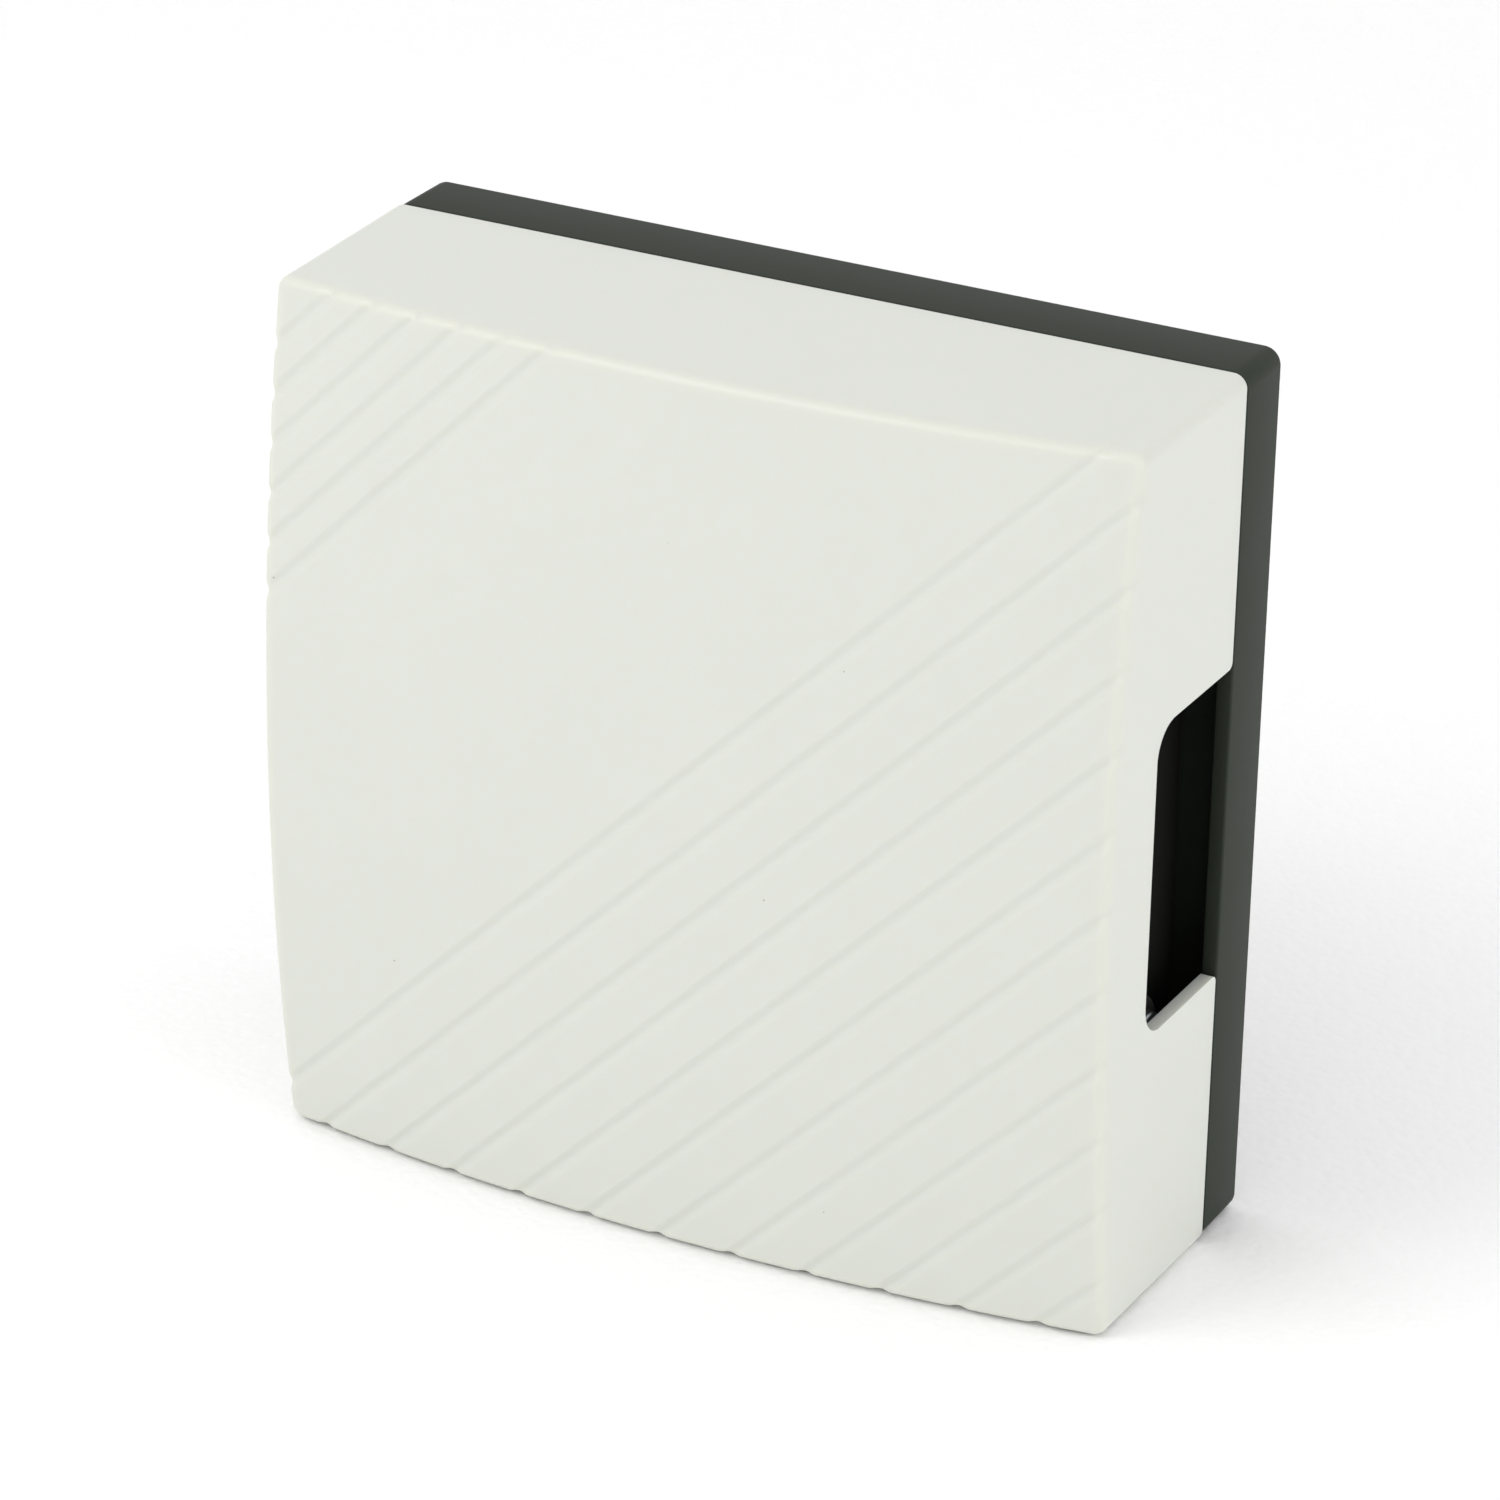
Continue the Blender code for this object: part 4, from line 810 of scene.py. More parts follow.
# Hard-drawn spring steel: grey, with fine draw lines.
SPRING_STEEL = metal("hard_drawn_spring_steel", "#8E9093", "#77797C", 0.27, (2.0, 2.0, 2.0), 0.001 * mm)
CLIP_MOUTH = math.radians(43)
CLIP_BORE = 3.9 * mm
CLIP_STEPS = 48
CLIP_EDGE = 0.1 * mm
CLIP_BORE_EDGE = 0.08 * mm
CLIP_END_SWELL = 0.5 * mm
CLIP_MIDDLE = 5 * mm  # a radius between the clip's inner and outer faces
clip_outer = clip_high.z
clip_half = (clip_high.x - clip_low.x) / 2
clip_section = (
    (CLIP_BORE + CLIP_BORE_EDGE, -clip_half),
    (clip_outer - CLIP_EDGE, -clip_half),
    (clip_outer, CLIP_EDGE - clip_half),
    (clip_outer, clip_half - CLIP_EDGE),
    (clip_outer - CLIP_EDGE, clip_half),
    (CLIP_BORE + CLIP_BORE_EDGE, clip_half),
    (CLIP_BORE, clip_half - CLIP_EDGE),
    (CLIP_BORE, CLIP_EDGE - clip_half),
)
bm = bmesh.new()
rings = []
for i in range(CLIP_STEPS + 1):
    angle = CLIP_MOUTH / 2 + (2 * math.pi - CLIP_MOUTH) * i / CLIP_STEPS
    thinner = CLIP_END_SWELL * max(0.0, 1 - min(i, CLIP_STEPS - i) / 3)
    ring = []
    for radius, x in clip_section:
        radius = radius + thinner if radius < CLIP_MIDDLE else radius - thinner
        place = (CLIP_X + x, STRIKE_Y - radius * math.cos(angle), radius * math.sin(angle))
        ring.append(bm.verts.new(place))
    rings.append(ring)
close_rings(bm, rings)
mesh = mesh_from("spring_clip_pressed", bm)
finish_piece("spring_clip_pressed", mesh, SPRING_STEEL, "plunger", ["spring_clip"])


def wire_mesh(name, route, radius, sides=12):
    """A round wire along a route, its section carried along without twist, with closed ends."""
    bm = bmesh.new()
    rings = []
    normal = None
    for i, point in enumerate(route):
        ahead = route[min(i + 1, len(route) - 1)] - route[max(i - 1, 0)]
        ahead.normalize()
        if normal is None:
            normal = ahead.orthogonal().normalized()
        normal = (normal - ahead * normal.dot(ahead)).normalized()
        side = ahead.cross(normal)
        ring = []
        for k in range(sides):
            angle = 2 * math.pi * k / sides
            offset = normal * math.cos(angle) + side * math.sin(angle)
            ring.append(bm.verts.new(point + offset * radius))
        rings.append(ring)
    close_rings(bm, rings)
    return mesh_from(name, bm)


spring_low, spring_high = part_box("return_spring")
SPRING_WIRE = 0.25 * mm
SPRING_TURNS = 5
SPRING_STEPS = 30
spring_radius = spring_high.z - SPRING_WIRE
spring_start = spring_low.x + SPRING_WIRE
spring_end = spring_high.x - SPRING_WIRE
route = []
for i in range(SPRING_TURNS * SPRING_STEPS + 1):
    share = i / (SPRING_TURNS * SPRING_STEPS)
    angle = 2 * math.pi * i / SPRING_STEPS
    closed_in = share - 0.06 * math.sin(2 * math.pi * share)
    x = spring_start + (spring_end - spring_start) * closed_in
    route.append(
        Vector((x, STRIKE_Y + spring_radius * math.cos(angle), spring_radius * math.sin(angle)))
    )
spring_mesh = wire_mesh("return_spring_coil", route, SPRING_WIRE)
spring_mesh.materials.append(SPRING_STEEL)
spring_mesh.shade_smooth()
spring = bpy.data.objects.new("return_spring_coil", spring_mesh)
bpy.context.scene.collection.objects.link(spring)
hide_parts("return_spring")
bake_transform(spring)

# ---- Tone bars -----------------------------------------------------------------------------------
# Each bar is a strip of steel, cut to length for its note, pierced at its two still points and
# chemically blackened. It hangs from shoulder screws through soft rubber grommets, so that it rings.

# A matt black phosphate and oil finish: a deep black with hardly any sheen, a little worn on edges.
# Its near-black is partly painted shade: it keeps the inside seen through the sound windows as dark as
# shade.
BLACKENED_AND_PAINTED_SHADE, *_ = grained_skin("blackened_steel_and_painted_shade", "#0B0B09", "#12120F", 0.78, 0.35, 0.010 * mm)
adjust(BLACKENED_AND_PAINTED_SHADE, {"Specular IOR Level": 0.12})

HOLE_RADIUS = 4.0 * mm
for side_name, side in BAR_SIDES.items():
    low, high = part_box(f"tone_bar_{side_name}")
    middle = (low + high) / 2
    half = ((high.y - low.y) / 2, (high.z - low.z) / 2)
    outline = rounded_outline((middle.y, middle.z), half, (high.x - low.x) / 2, 4)
    bm = bmesh.new()
    close_rings(bm, [[bm.verts.new((x, y, z)) for y, z in outline] for x in (low.x, high.x)])
    mesh = mesh_from(f"tone_bar_{side_name}_strip", bm)
    holes = []
    for end in (-1, 1):
        z = end * bar_node_z[side_name]
        start = (low.x - PAST, STRIKE_Y, z)
        stop = (high.x + PAST, STRIKE_Y, z)
        holes.append(round_bar(f"bar_hole_{side_name}_{end}", HOLE_RADIUS, start, stop, 48))
    mesh = combine(mesh, [], holes)
    name = f"tone_bar_{side_name}"
    bar = finish_piece(f"{name}_strip", mesh, BLACKENED_AND_PAINTED_SHADE, "base", [name])
    soften(bar, 0.25 * mm, 40)

# Soft black rubber: matt, a little dusty, and slightly grey.
RUBBER = plain_polymer("moulded_black_rubber", "#171716", "#1F1F1D", 0.82, 0.5, 0.008 * mm, 1.52)
GROMMET_BORE = 2.2 * mm
GROMMET_FLANGE = 1.8 * mm
GROMMET_NECK = 3.7 * mm
GROMMET_EDGE = 0.5 * mm
SHOULDER_RADIUS = 1.9 * mm
SHOULDER_LENGTH = 7.3 * mm
SHOULDER_HEAD = 1.8 * mm
THREAD_RADIUS = 1.3 * mm
for side_name, side in BAR_SIDES.items():
    for label in ("upper", "lower"):
        node = f"bar_grommet_{side_name}_{label}"
        low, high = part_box(node)
        total = high.x - low.x
        flange_radius = (high.z - low.z) / 2
        z = (low.z + high.z) / 2
        profile = [
            (GROMMET_BORE, total),
            (flange_radius - GROMMET_EDGE, total),
            (flange_radius, total - GROMMET_EDGE),
            (flange_radius, total - GROMMET_FLANGE),
            (GROMMET_NECK, total - GROMMET_FLANGE),
            (GROMMET_NECK, GROMMET_FLANGE),
            (flange_radius, GROMMET_FLANGE),
            (flange_radius, GROMMET_EDGE),
            (flange_radius - GROMMET_EDGE, 0),
            (GROMMET_BORE, 0),
        ]
        profile = eased(profile, 0.4 * mm, closed=True)
        start = (low.x if side > 0 else high.x, STRIKE_Y, z)
        name = f"grommet_{side_name}_{label}_moulded"
        turned_piece(name, node, profile, start, (side, 0, 0), RUBBER, "base", 48)

        node = f"bar_screw_{side_name}_{label}"
        low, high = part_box(node)
        head_radius = (high.z - low.z) / 2
        length = high.x - low.x
        head = SHOULDER_HEAD
        shoulder_top = length - head
        shoulder_start = length - head - SHOULDER_LENGTH
        profile = [
            (head_radius * math.sin(math.radians(a)), length - head * 0.6 * (1 - math.cos(math.radians(a))))
            for a in HEAD_ANGLES
        ]
        profile += [
            (head_radius, shoulder_top + HEAD_EDGE),
            (head_radius - HEAD_EDGE, shoulder_top),
            (SHOULDER_RADIUS, shoulder_top),
            (SHOULDER_RADIUS, shoulder_start),
            (THREAD_RADIUS, shoulder_start),
            (THREAD_RADIUS, THREAD_RADIUS),
            (0, 0),
        ]
        start = (low.x if side > 0 else high.x, STRIKE_Y, z)
        name = f"shoulder_screw_{side_name}_{label}"
        slotted_screw(name, node, profile, start, (side, 0, 0), length, (0, 1, 0), "base")

# ---- Terminals -----------------------------------------------------------------------------------
# The bell wires are clamped on a brown phenolic block. Each way has a brass plate with a solder tag
# for the coil's lead, and a square plated washer under a slotted screw.

# Brown phenolic moulding: dark, hard and slightly glossy, flecked by its wood-flour filler.
PHENOLIC = plain_polymer("moulded_brown_phenolic", "#2B1A12", "#3A251A", 0.36, 0.8, 0.005 * mm, 1.63)
# Stamped brass sheet, rolled flat, a little dull.
SHEET_BRASS = metal("stamped_sheet_brass", "#C2A04E", "#A98A3C", 0.33, (0.5, 3.0, 3.0), 0.003 * mm)

dress("terminal_block", PHENOLIC)
for label in ("left", "right"):
    dress(f"contact_plate_{label}", SHEET_BRASS)
    dress(f"clamp_washer_{label}", ZINC)
    node = f"terminal_screw_{label}"
    screw_from_node(f"binding_screw_{label}", node, 1.4 * mm, 1.9 * mm, f"{label}_terminal_screw")
screw_from_node("block_fixing_screw", "terminal_block_screw", 1.0 * mm, 1.6 * mm, "base")

# Coil leads: fine wire in soft red sleeving, soldered to the tags.
SLEEVING = plain_polymer("red_pvc_sleeving", "#A3221A", "#8E1B15", 0.45, 0.7, 0.006 * mm, 1.54)


def smooth_route(points, steps):
    """A smooth curve through the points, with this many steps between each two."""
    points = [Vector(point) for point in points]
    padded = [2 * points[0] - points[1], *points, 2 * points[-1] - points[-2]]
    route = []
    for a, b, c, d in zip(padded, padded[1:], padded[2:], padded[3:]):
        for i in range(steps):
            t = i / steps
            route.append(
                (
                    2 * b
                    + (c - a) * t
                    + (2 * a - 5 * b + 4 * c - d) * t**2
                    + (3 * b - a - 3 * c + d) * t**3
                )
                / 2
            )
    return [*route, points[-1]]


LEAD_RADIUS = 0.5 * mm
LEAVE_X = 15.6 * mm
LEAVE_Z = -12.2 * mm
TAG_X = 9.0 * mm
middle_x = (LEAVE_X + TAG_X) / 2
for label, side in (("left", -1), ("right", 1)):
    plate_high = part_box(f"contact_plate_{label}")[1]
    tag_z = plate_high.z + 0.3 * mm + LEAD_RADIUS
    tag_y = plate_high.y - 0.8 * mm - 2.8 * mm
    route = smooth_route(
        [
            (side * LEAVE_X, STRIKE_Y, LEAVE_Z),
            (side * LEAVE_X, STRIKE_Y + 0.5 * mm, LEAVE_Z - 3.0 * mm),
            (side * (middle_x + 1.5 * mm), STRIKE_Y + 3.0 * mm, (LEAVE_Z + tag_z) / 2),
            (side * middle_x, tag_y - 1.5 * mm, tag_z + 4.0 * mm),
            (side * TAG_X, tag_y, tag_z),
        ],
        12,
    )
    name = f"lead_{label}_sleeved"
    mesh = wire_mesh(name, route, LEAD_RADIUS, 16)
    finish_piece(name, mesh, SLEEVING, "base", [f"coil_lead_{label}"])

# ---- Cover ---------------------------------------------------------------------------------------
# The cover is an off-white ABS moulding, 2 mm thick. Its square front is crowned both ways and
# carries two groups of diagonal grooves. Each side wall has a sound window that opens to the base,
# and the cover snaps over the base's four lugs.

# Off-white ABS with a faint green-yellow cast: satin, and a little translucent at thin edges.
WHITE_ABS, tree, shader, place, white_tint = grained_skin(
    "moulded_white_abs", "#CED0C9", "#D0D2CB", 0.44, 0.45, 0.0035 * mm
)
adjust(
    WHITE_ABS,
    {
        "Subsurface Weight": 0.5,
        "Subsurface Radius": (1.0, 0.9, 0.7),
        "Subsurface Scale": 1.2 * mm,
    },
)
# Painted highlight: each edge is mixed towards a slightly warmer, lighter colour, which paints in the light
# that edges catch from within the plastic.
edge_highlight = add_node(tree, "ShaderNodeAttribute", {}, attribute_name="painted_edge_highlight")
highlighted = add_node(
    tree,
    "ShaderNodeMix",
    {0: edge_highlight.outputs["Fac"], 6: white_tint, 7: linear("#D1D2C9")},
    data_type="RGBA",
)
# A few dark specks up to 0.3 mm across, some 45 mm apart on a face, are dust and stray pigment.
SPECK_SPACING = 9.0
speck_cells = add_node(tree, "ShaderNodeTexVoronoi", {"Vector": place, "Scale": 1 / SPECK_SPACING})
speck = add_node(
    tree,
    "ShaderNodeMapRange",
    {
        "Value": speck_cells.outputs["Distance"],
        1: 0.10 / SPECK_SPACING,
        2: 0.17 / SPECK_SPACING,
        3: 0.7,
        4: 0.0,
    },
)
specked = add_node(
    tree,
    "ShaderNodeMix",
    {0: speck.outputs[0], 6: highlighted.outputs[2], 7: linear("#6E6F66")},
    data_type="RGBA",
)
tree.links.new(specked.outputs[2], shader.inputs["Base Color"])

COVER_BACK_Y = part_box("front_cover")[1].y
COVER_CORNER_DEPTH = 43.2 * mm
FRONT_HALF = CASE_HALF - 0.4 * mm
EDGE_CROWN = 5.4 * mm
CENTRE_CROWN = 8.0 * mm
COVER_WALL = 2.0 * mm
COVER_CORNER = 2.0 * mm
COVER_EDGE = 1.2 * mm
GROOVE_HALF_WIDTH = 1.2 * mm
GROOVE_DEPTH = 0.35 * mm
GROOVE_OUTERMOST = 84.46 * mm
UPPER_PITCH = 5.0 * mm
LOWER_PITCH = 8.03 * mm
UPPER_GROOVES = [GROOVE_OUTERMOST - UPPER_PITCH * i for i in range(6)]
LOWER_GROOVES = [-GROOVE_OUTERMOST + LOWER_PITCH * i for i in range(12)]
WINDOW_HALF = 23.0 * mm
WINDOW_FRONT_Y = SEAM_Y - 23.3 * mm
WINDOW_RADIUS = 5.0 * mm
WINDOW_LIP = 1.0 * mm


def front_depth(x, z):
    """How far the front stands from the wall at a point, without its grooves."""
    across = 1 - (x / FRONT_HALF) ** 2
    up = 1 - (z / FRONT_HALF) ** 2
    flattened = 2 * EDGE_CROWN - CENTRE_CROWN
    return COVER_CORNER_DEPTH + EDGE_CROWN * (across + up) - flattened * across * up


def groove_depth(x, z):
    """How deep the groove is at a point on the front, with soft shoulders."""
    offset = (z - x) / math.sqrt(2)
    nearest = min(abs(offset - groove) for groove in UPPER_GROOVES + LOWER_GROOVES)
    if nearest >= GROOVE_HALF_WIDTH:
        return 0.0
    return GROOVE_DEPTH * math.cos(math.pi / 2 * nearest / GROOVE_HALF_WIDTH) ** 2


def window_edge_y(z):
    """The front edge of the sound window's outline, with its two rounded corners."""
    past_corner = abs(z) - (WINDOW_HALF - WINDOW_RADIUS)
    if past_corner <= 0:
        return WINDOW_FRONT_Y
    past_corner = min(past_corner, WINDOW_RADIUS)
    return WINDOW_FRONT_Y + WINDOW_RADIUS - math.sqrt(WINDOW_RADIUS**2 - past_corner**2)


def rim_y(on_side, z):
    """The cover's back rim, which turns into the window over a small rounded corner."""
    past = abs(z) - WINDOW_HALF
    if not on_side or past >= WINDOW_LIP:
        return COVER_BACK_Y
    drop = WINDOW_LIP - math.sqrt(max(0.0, WINDOW_LIP**2 - (WINDOW_LIP - max(past, 0.0)) ** 2))
    return COVER_BACK_Y - drop


GRID = 0.45 * mm
straight_end = FRONT_HALF - COVER_CORNER
inner_zone = WINDOW_HALF - WINDOW_RADIUS
outer_zone = WINDOW_HALF + WINDOW_LIP
half_steps = [inner_zone * i / round(inner_zone / GRID) for i in range(round(inner_zone / GRID))]
half_steps += [inner_zone + WINDOW_RADIUS * math.sin(math.radians(7.5 * i)) for i in range(12)]
half_steps += [WINDOW_HALF + WINDOW_LIP * (1 - math.cos(math.radians(18 * i))) for i in range(5)]
outer_count = round((straight_end - outer_zone) / GRID)
half_steps += [
    outer_zone + (straight_end - outer_zone) * i / outer_count for i in range(outer_count + 1)
]
cover_steps = side_steps([-value for value in half_steps[1:]] + half_steps, 4)
cover_end = cover_steps[-1]

bm = bmesh.new()
# Each point's share of the painted edge highlight: rising near the front's edge, most on the rounded edge.
edge_highlight_layer = bm.verts.layers.float.new("painted_edge_highlight")
grid = []
for s in cover_steps:
    column = []
    for t in cover_steps:
        x, z = plan_point(s, t, cover_end, FRONT_HALF - COVER_EDGE, COVER_CORNER - COVER_EDGE)
        groove = groove_depth(x, z)
        vert = bm.verts.new((x, groove - front_depth(x, z), z))
        to_edge = FRONT_HALF - COVER_EDGE - max(abs(x), abs(z))
        vert[edge_highlight_layer] = 0.6 * max(0.0, 1 - to_edge / (2 * mm)) ** 2
        column.append(vert)
    grid.append(column)
for column, other in zip(grid, grid[1:]):
    for j in range(len(column) - 1):
        bm.faces.new((column[j], other[j], other[j + 1]))
        bm.faces.new((column[j], other[j + 1], column[j + 1]))

# The outside, from the front's edge to the rim. Every row has one point for each step round the edge.
cover_rim = rim_of(cover_steps)
step_index = {step: index for index, step in enumerate(cover_steps)}
outer_rows = [[grid[step_index[s]][step_index[t]] for s, t in cover_rim]]
EDGE_STEPS = 8
GROOVE_FADE_START = 72  # degrees round the edge, after which a groove starts to run out
GROOVE_LEFT_AT_SIDE = 0.55  # share of a groove's depth where the rounded edge meets the side wall
GROOVE_RUN_OUT = 0.5 * mm  # how far a groove then runs down the side wall
for k in range(1, EDGE_STEPS + 1):
    degrees = 90 * k / EDGE_STEPS
    angle = math.radians(degrees)
    inset = COVER_EDGE * (1 - math.sin(angle))
    back = COVER_EDGE * (1 - math.cos(angle))
    past = max(0.0, (degrees - GROOVE_FADE_START) / (90 - GROOVE_FADE_START))
    kept = 1 - (1 - GROOVE_LEFT_AT_SIDE) * past * past * (3 - 2 * past)
    row = []
    for s, t in cover_rim:
        x, z = plan_point(s, t, cover_end, FRONT_HALF - inset, COVER_CORNER - inset)
        sunk = kept * groove_depth(x, z)
        deeper = inset + sunk * math.sin(angle)
        x, z = plan_point(s, t, cover_end, FRONT_HALF - deeper, COVER_CORNER - inset)
        vert = bm.verts.new((x, back + sunk * math.cos(angle) - front_depth(x, z), z))
        # The painted edge highlight is strongest halfway round the rounded edge.
        vert[edge_highlight_layer] = 0.6 + 0.4 * math.sin(2 * angle)
        row.append(vert)
    outer_rows.append(row)
edge_row = []
for s, t in cover_rim:
    x, z = plan_point(s, t, cover_end, FRONT_HALF, COVER_CORNER)
    vert = bm.verts.new((x, COVER_EDGE + GROOVE_RUN_OUT - front_depth(x, z), z))
    vert[edge_highlight_layer] = 0.45
    edge_row.append(vert)
outer_rows.append(edge_row)


def wall_row(share_to_window, share_to_rim, half_back, half_front, radius, front_ys):
    """One row round a side wall, part of the way from the front to the window's line or the rim."""
    row = []
    for (s, t), start in zip(cover_rim, front_ys):
        on_side = abs(s) == cover_end
        x, z = plan_point(s, t, cover_end, half_back, radius)
        window_y = window_edge_y(z) if on_side else window_edge_y(WINDOW_HALF)
        y = start + (window_y - start) * share_to_window
        y += (rim_y(on_side, z) - window_y) * share_to_rim
        half = half_front + (half_back - half_front) * (y - start) / (COVER_BACK_Y - start)
        x, z = plan_point(s, t, cover_end, half, radius)
        row.append(bm.verts.new((x, y, z)))
    return row


WALL_ROWS = 8
RIM_ROWS = 8
outside = (CASE_HALF, FRONT_HALF, COVER_CORNER, [vert.co.y for vert in edge_row])
outer_rows += [wall_row(k / WALL_ROWS, 0, *outside) for k in range(1, WALL_ROWS + 1)]
window_row = len(outer_rows) - 1
outer_rows += [wall_row(1, k / RIM_ROWS, *outside) for k in range(1, RIM_ROWS + 1)]

# The inside, parallel to the outside, from the rim back to the front's inner face.
INNER_CORNER = 0.5 * mm
inner_front_half = FRONT_HALF - COVER_WALL
inner_plan = [plan_point(s, t, cover_end, inner_front_half, INNER_CORNER) for s, t in cover_rim]
inner_front_ys = [COVER_WALL - front_depth(x, z) for x, z in inner_plan]
inside = (CASE_HALF - COVER_WALL, inner_front_half, INNER_CORNER, inner_front_ys)
inner_rows = [wall_row(k / WALL_ROWS, 0, *inside) for k in (0, 3, WALL_ROWS)]
inner_window_row = len(inner_rows) - 1
inner_rows += [wall_row(1, k / RIM_ROWS, *inside) for k in range(1, RIM_ROWS + 1)]


def beside_window(index):
    """Whether the strip after this step of the rim lies in a window."""
    s, t = cover_rim[index]
    next_s, next_t = cover_rim[(index + 1) % len(cover_rim)]
    middle = abs(t + next_t) / 2
    return abs(s) == cover_end and abs(next_s) == cover_end and middle < WINDOW_HALF


count = len(cover_rim)
in_window = [beside_window(index) for index in range(count)]
soft_edges = []
for rows, last_row in ((outer_rows, window_row), (inner_rows, inner_window_row)):
    for k, (row, other) in enumerate(zip(rows, rows[1:])):
        for i in range(count):
            j = (i + 1) % count
            if k >= last_row and in_window[i]:
                continue
            bm.faces.new((row[i], row[j], other[j], other[i]))
for i in range(count):
    j = (i + 1) % count
    if in_window[i]:
        outer, inner = outer_rows[window_row], inner_rows[inner_window_row]
    else:
        outer, inner = outer_rows[-1], inner_rows[-1]
    bm.faces.new((outer[i], outer[j], inner[j], inner[i]))
    soft_edges += [(outer[i], outer[j], 1.0), (inner[i], inner[j], 0.5)]
    if in_window[i] != in_window[i - 1]:
        for k in range(RIM_ROWS):
            outer_pair = (outer_rows[window_row + k][i], outer_rows[window_row + k + 1][i])
            inner_pair = (inner_rows[inner_window_row + k][i], inner_rows[inner_window_row + k + 1][i])
            bm.faces.new((*outer_pair, *reversed(inner_pair)))
            soft_edges += [(*outer_pair, 1.0), (*inner_pair, 0.5)]

# The front's inner face: strips from the lower edge to the upper one, coarse because it is smooth.
n = len(cover_steps) - 1
BAND = 24
bands = list(range(0, n, BAND)) + [n]
inner_edge = inner_rows[0]
right_side = inner_edge[0 : n + 1]
top_side = list(reversed(inner_edge[n : 2 * n + 1]))
left_side = list(reversed(inner_edge[2 * n : 3 * n + 1]))
bottom_side = inner_edge[3 * n :] + [inner_edge[0]]
lines = []
for i in range(1, n):
    line = [bottom_side[i]]
    for band in bands[1:-1]:
        x, z = plan_point(
            cover_steps[i], cover_steps[band], cover_end, inner_front_half, INNER_CORNER
        )
        line.append(bm.verts.new((x, COVER_WALL - front_depth(x, z), z)))
    line.append(top_side[i])
    lines.append(line)
for line, other in zip(lines, lines[1:]):
    for k in range(len(bands) - 1):
        bm.faces.new((line[k], other[k], other[k + 1], line[k + 1]))
for side_verts, line in ((left_side, lines[0]), (right_side, lines[-1])):
    for k in range(len(bands) - 1):
        low = side_verts[bands[k] : bands[k + 1] + 1]
        face = [line[k + 1], line[k], *low]
        bm.faces.new(list(dict.fromkeys(face)))

bevel_layer = bm.edges.layers.float.new("bevel_weight_edge")
for first, second, weight in soft_edges:
    edge = bm.edges.get((first, second))
    edge[bevel_layer] = weight
sharp_cover = helper_from("sharp_cover", bm)
rim_bevel = sharp_cover.modifiers.new("rim_edges", "BEVEL")
rim_bevel.limit_method = "WEIGHT"
rim_bevel.width = 0.35 * mm
rim_bevel.segments = 3
graph = bpy.context.evaluated_depsgraph_get()
cover_mesh = bpy.data.meshes.new_from_object(sharp_cover.evaluated_get(graph))
cover_mesh.name = "cover_moulding"
bpy.data.objects.remove(sharp_cover)
finish_piece("cover_moulding", cover_mesh, WHITE_ABS, "cover", ["front_cover"])

# The grooved front takes its exact normals, so that light runs evenly along each groove.
NUDGE = 0.02 * mm
CLOSE = 0.001 * mm


def front_y(x, z):
    return groove_depth(x, z) - front_depth(x, z)


flat_half = FRONT_HALF - COVER_EDGE + CLOSE
normals = []
for vert in cover_mesh.vertices:
    x, y, z = vert.co
    if max(abs(x), abs(z)) > flat_half or abs(y - front_y(x, z)) > CLOSE:
        normals.append((0.0, 0.0, 0.0))
        continue
    slope_x = (front_y(x + NUDGE, z) - front_y(x - NUDGE, z)) / (2 * NUDGE)
    slope_z = (front_y(x, z + NUDGE) - front_y(x, z - NUDGE)) / (2 * NUDGE)
    normals.append(Vector((slope_x, -1.0, slope_z)).normalized())
cover_mesh.normals_split_custom_set_from_vertices(normals)

# ---- Floor, light and camera ---------------------------------------------------------------------
# A white leather-grained sweep under an even, soft studio light: a bright surround, one large
# softbox high at the front left and one at the right. The camera looks down from the front right.
FLOOR_HALF = 6.0
bm = bmesh.new()
bmesh.ops.create_grid(bm, x_segments=8, y_segments=8, size=FLOOR_HALF)
bmesh.ops.translate(bm, vec=(0, 0, cad_bounds[0][2]), verts=bm.verts)
floor = bpy.data.objects.new("floor", mesh_from("floor", bm))
bpy.context.scene.collection.objects.link(floor)
PEBBLE_SIZE = 1.3  # millimetres
FLOOR_LEATHER, tree, shader, place = new_finish("white_leather_cloth")
pebbles = add_node(
    tree, "ShaderNodeTexVoronoi", {"Vector": place, "Scale": 1 / PEBBLE_SIZE}, feature="SMOOTH_F1"
)
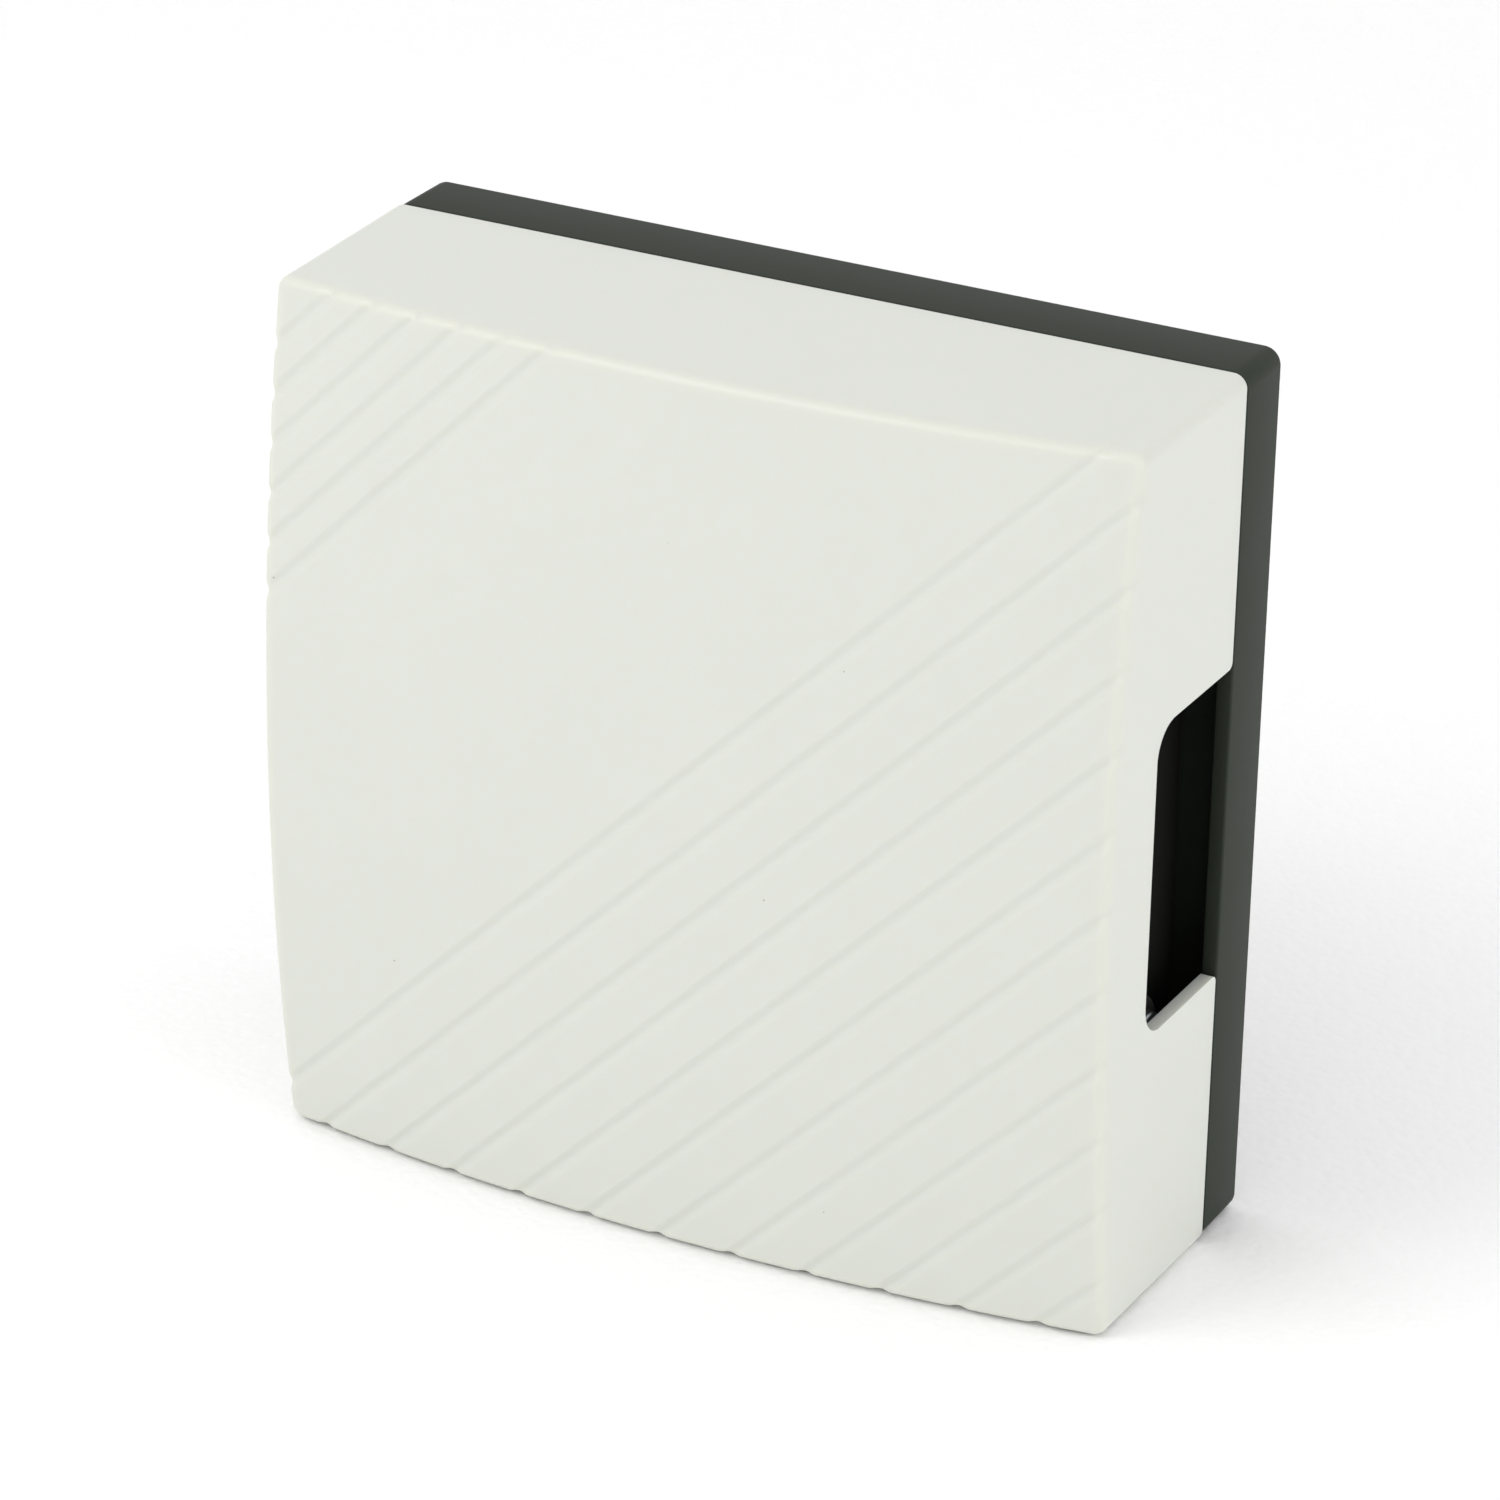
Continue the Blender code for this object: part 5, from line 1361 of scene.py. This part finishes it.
floor_grain = add_node(
    tree,
    "ShaderNodeBump",
    {"Strength": 1.0, "Distance": 0.16 * mm, "Height": pebbles.outputs["Distance"]},
)
tree.links.new(floor_grain.outputs["Normal"], shader.inputs["Normal"])
adjust(
    FLOOR_LEATHER,
    {
        "Base Color": linear("#FEFEFE"),
        "Subsurface Weight": 0.6,
        "Subsurface Radius": (1.0, 1.0, 1.0),
        "Subsurface Scale": 2.5 * mm,
        "Roughness": 0.7,
        "Specular IOR Level": 0.2,
    },
)
floor.data.materials.append(FLOOR_LEATHER)

world = bpy.data.worlds.new("studio")
world.use_nodes = True
world.node_tree.nodes["Background"].inputs["Color"].default_value = (1.0, 1.0, 1.0, 1.0)
world.node_tree.nodes["Background"].inputs["Strength"].default_value = 0.95
bpy.context.scene.world = world


def softbox(name, location, size, watts):
    """A large square light that faces the chime."""
    light = bpy.data.lights.new(name, "AREA")
    light.shape = "SQUARE"
    light.size = size
    light.energy = watts
    lamp = bpy.data.objects.new(name, light)
    lamp.location = location
    lamp.rotation_euler = (-Vector(location)).to_track_quat("-Z", "Y").to_euler()
    bpy.context.scene.collection.objects.link(lamp)


softbox("softbox_front", (-0.35, -0.60, 0.62), 0.45, 2.3)
softbox("softbox_right", (1.10, -0.20, 0.30), 0.8, 2.5)

camera_data = bpy.data.cameras.new("camera")
camera_data.sensor_width = 36.0
camera_data.lens = 149.4
camera_data.clip_start = 0.01
camera = bpy.data.objects.new("camera", camera_data)
bpy.context.scene.collection.objects.link(camera)
forward = Vector((-0.41795, 0.80359, -0.42389)).normalized()
up = Vector((-0.2111, 0.3679, 0.9056))
up = (up - forward * up.dot(forward)).normalized()
right = forward.cross(up)
camera.matrix_world = Matrix.Translation((0.35790, -0.71418, 0.36455)) @ Matrix(
    (
        (right.x, up.x, -forward.x, 0),
        (right.y, up.y, -forward.y, 0),
        (right.z, up.z, -forward.z, 0),
        (0, 0, 0, 1),
    )
)
bpy.context.scene.camera = camera
bpy.context.scene.view_settings.view_transform = "Standard"
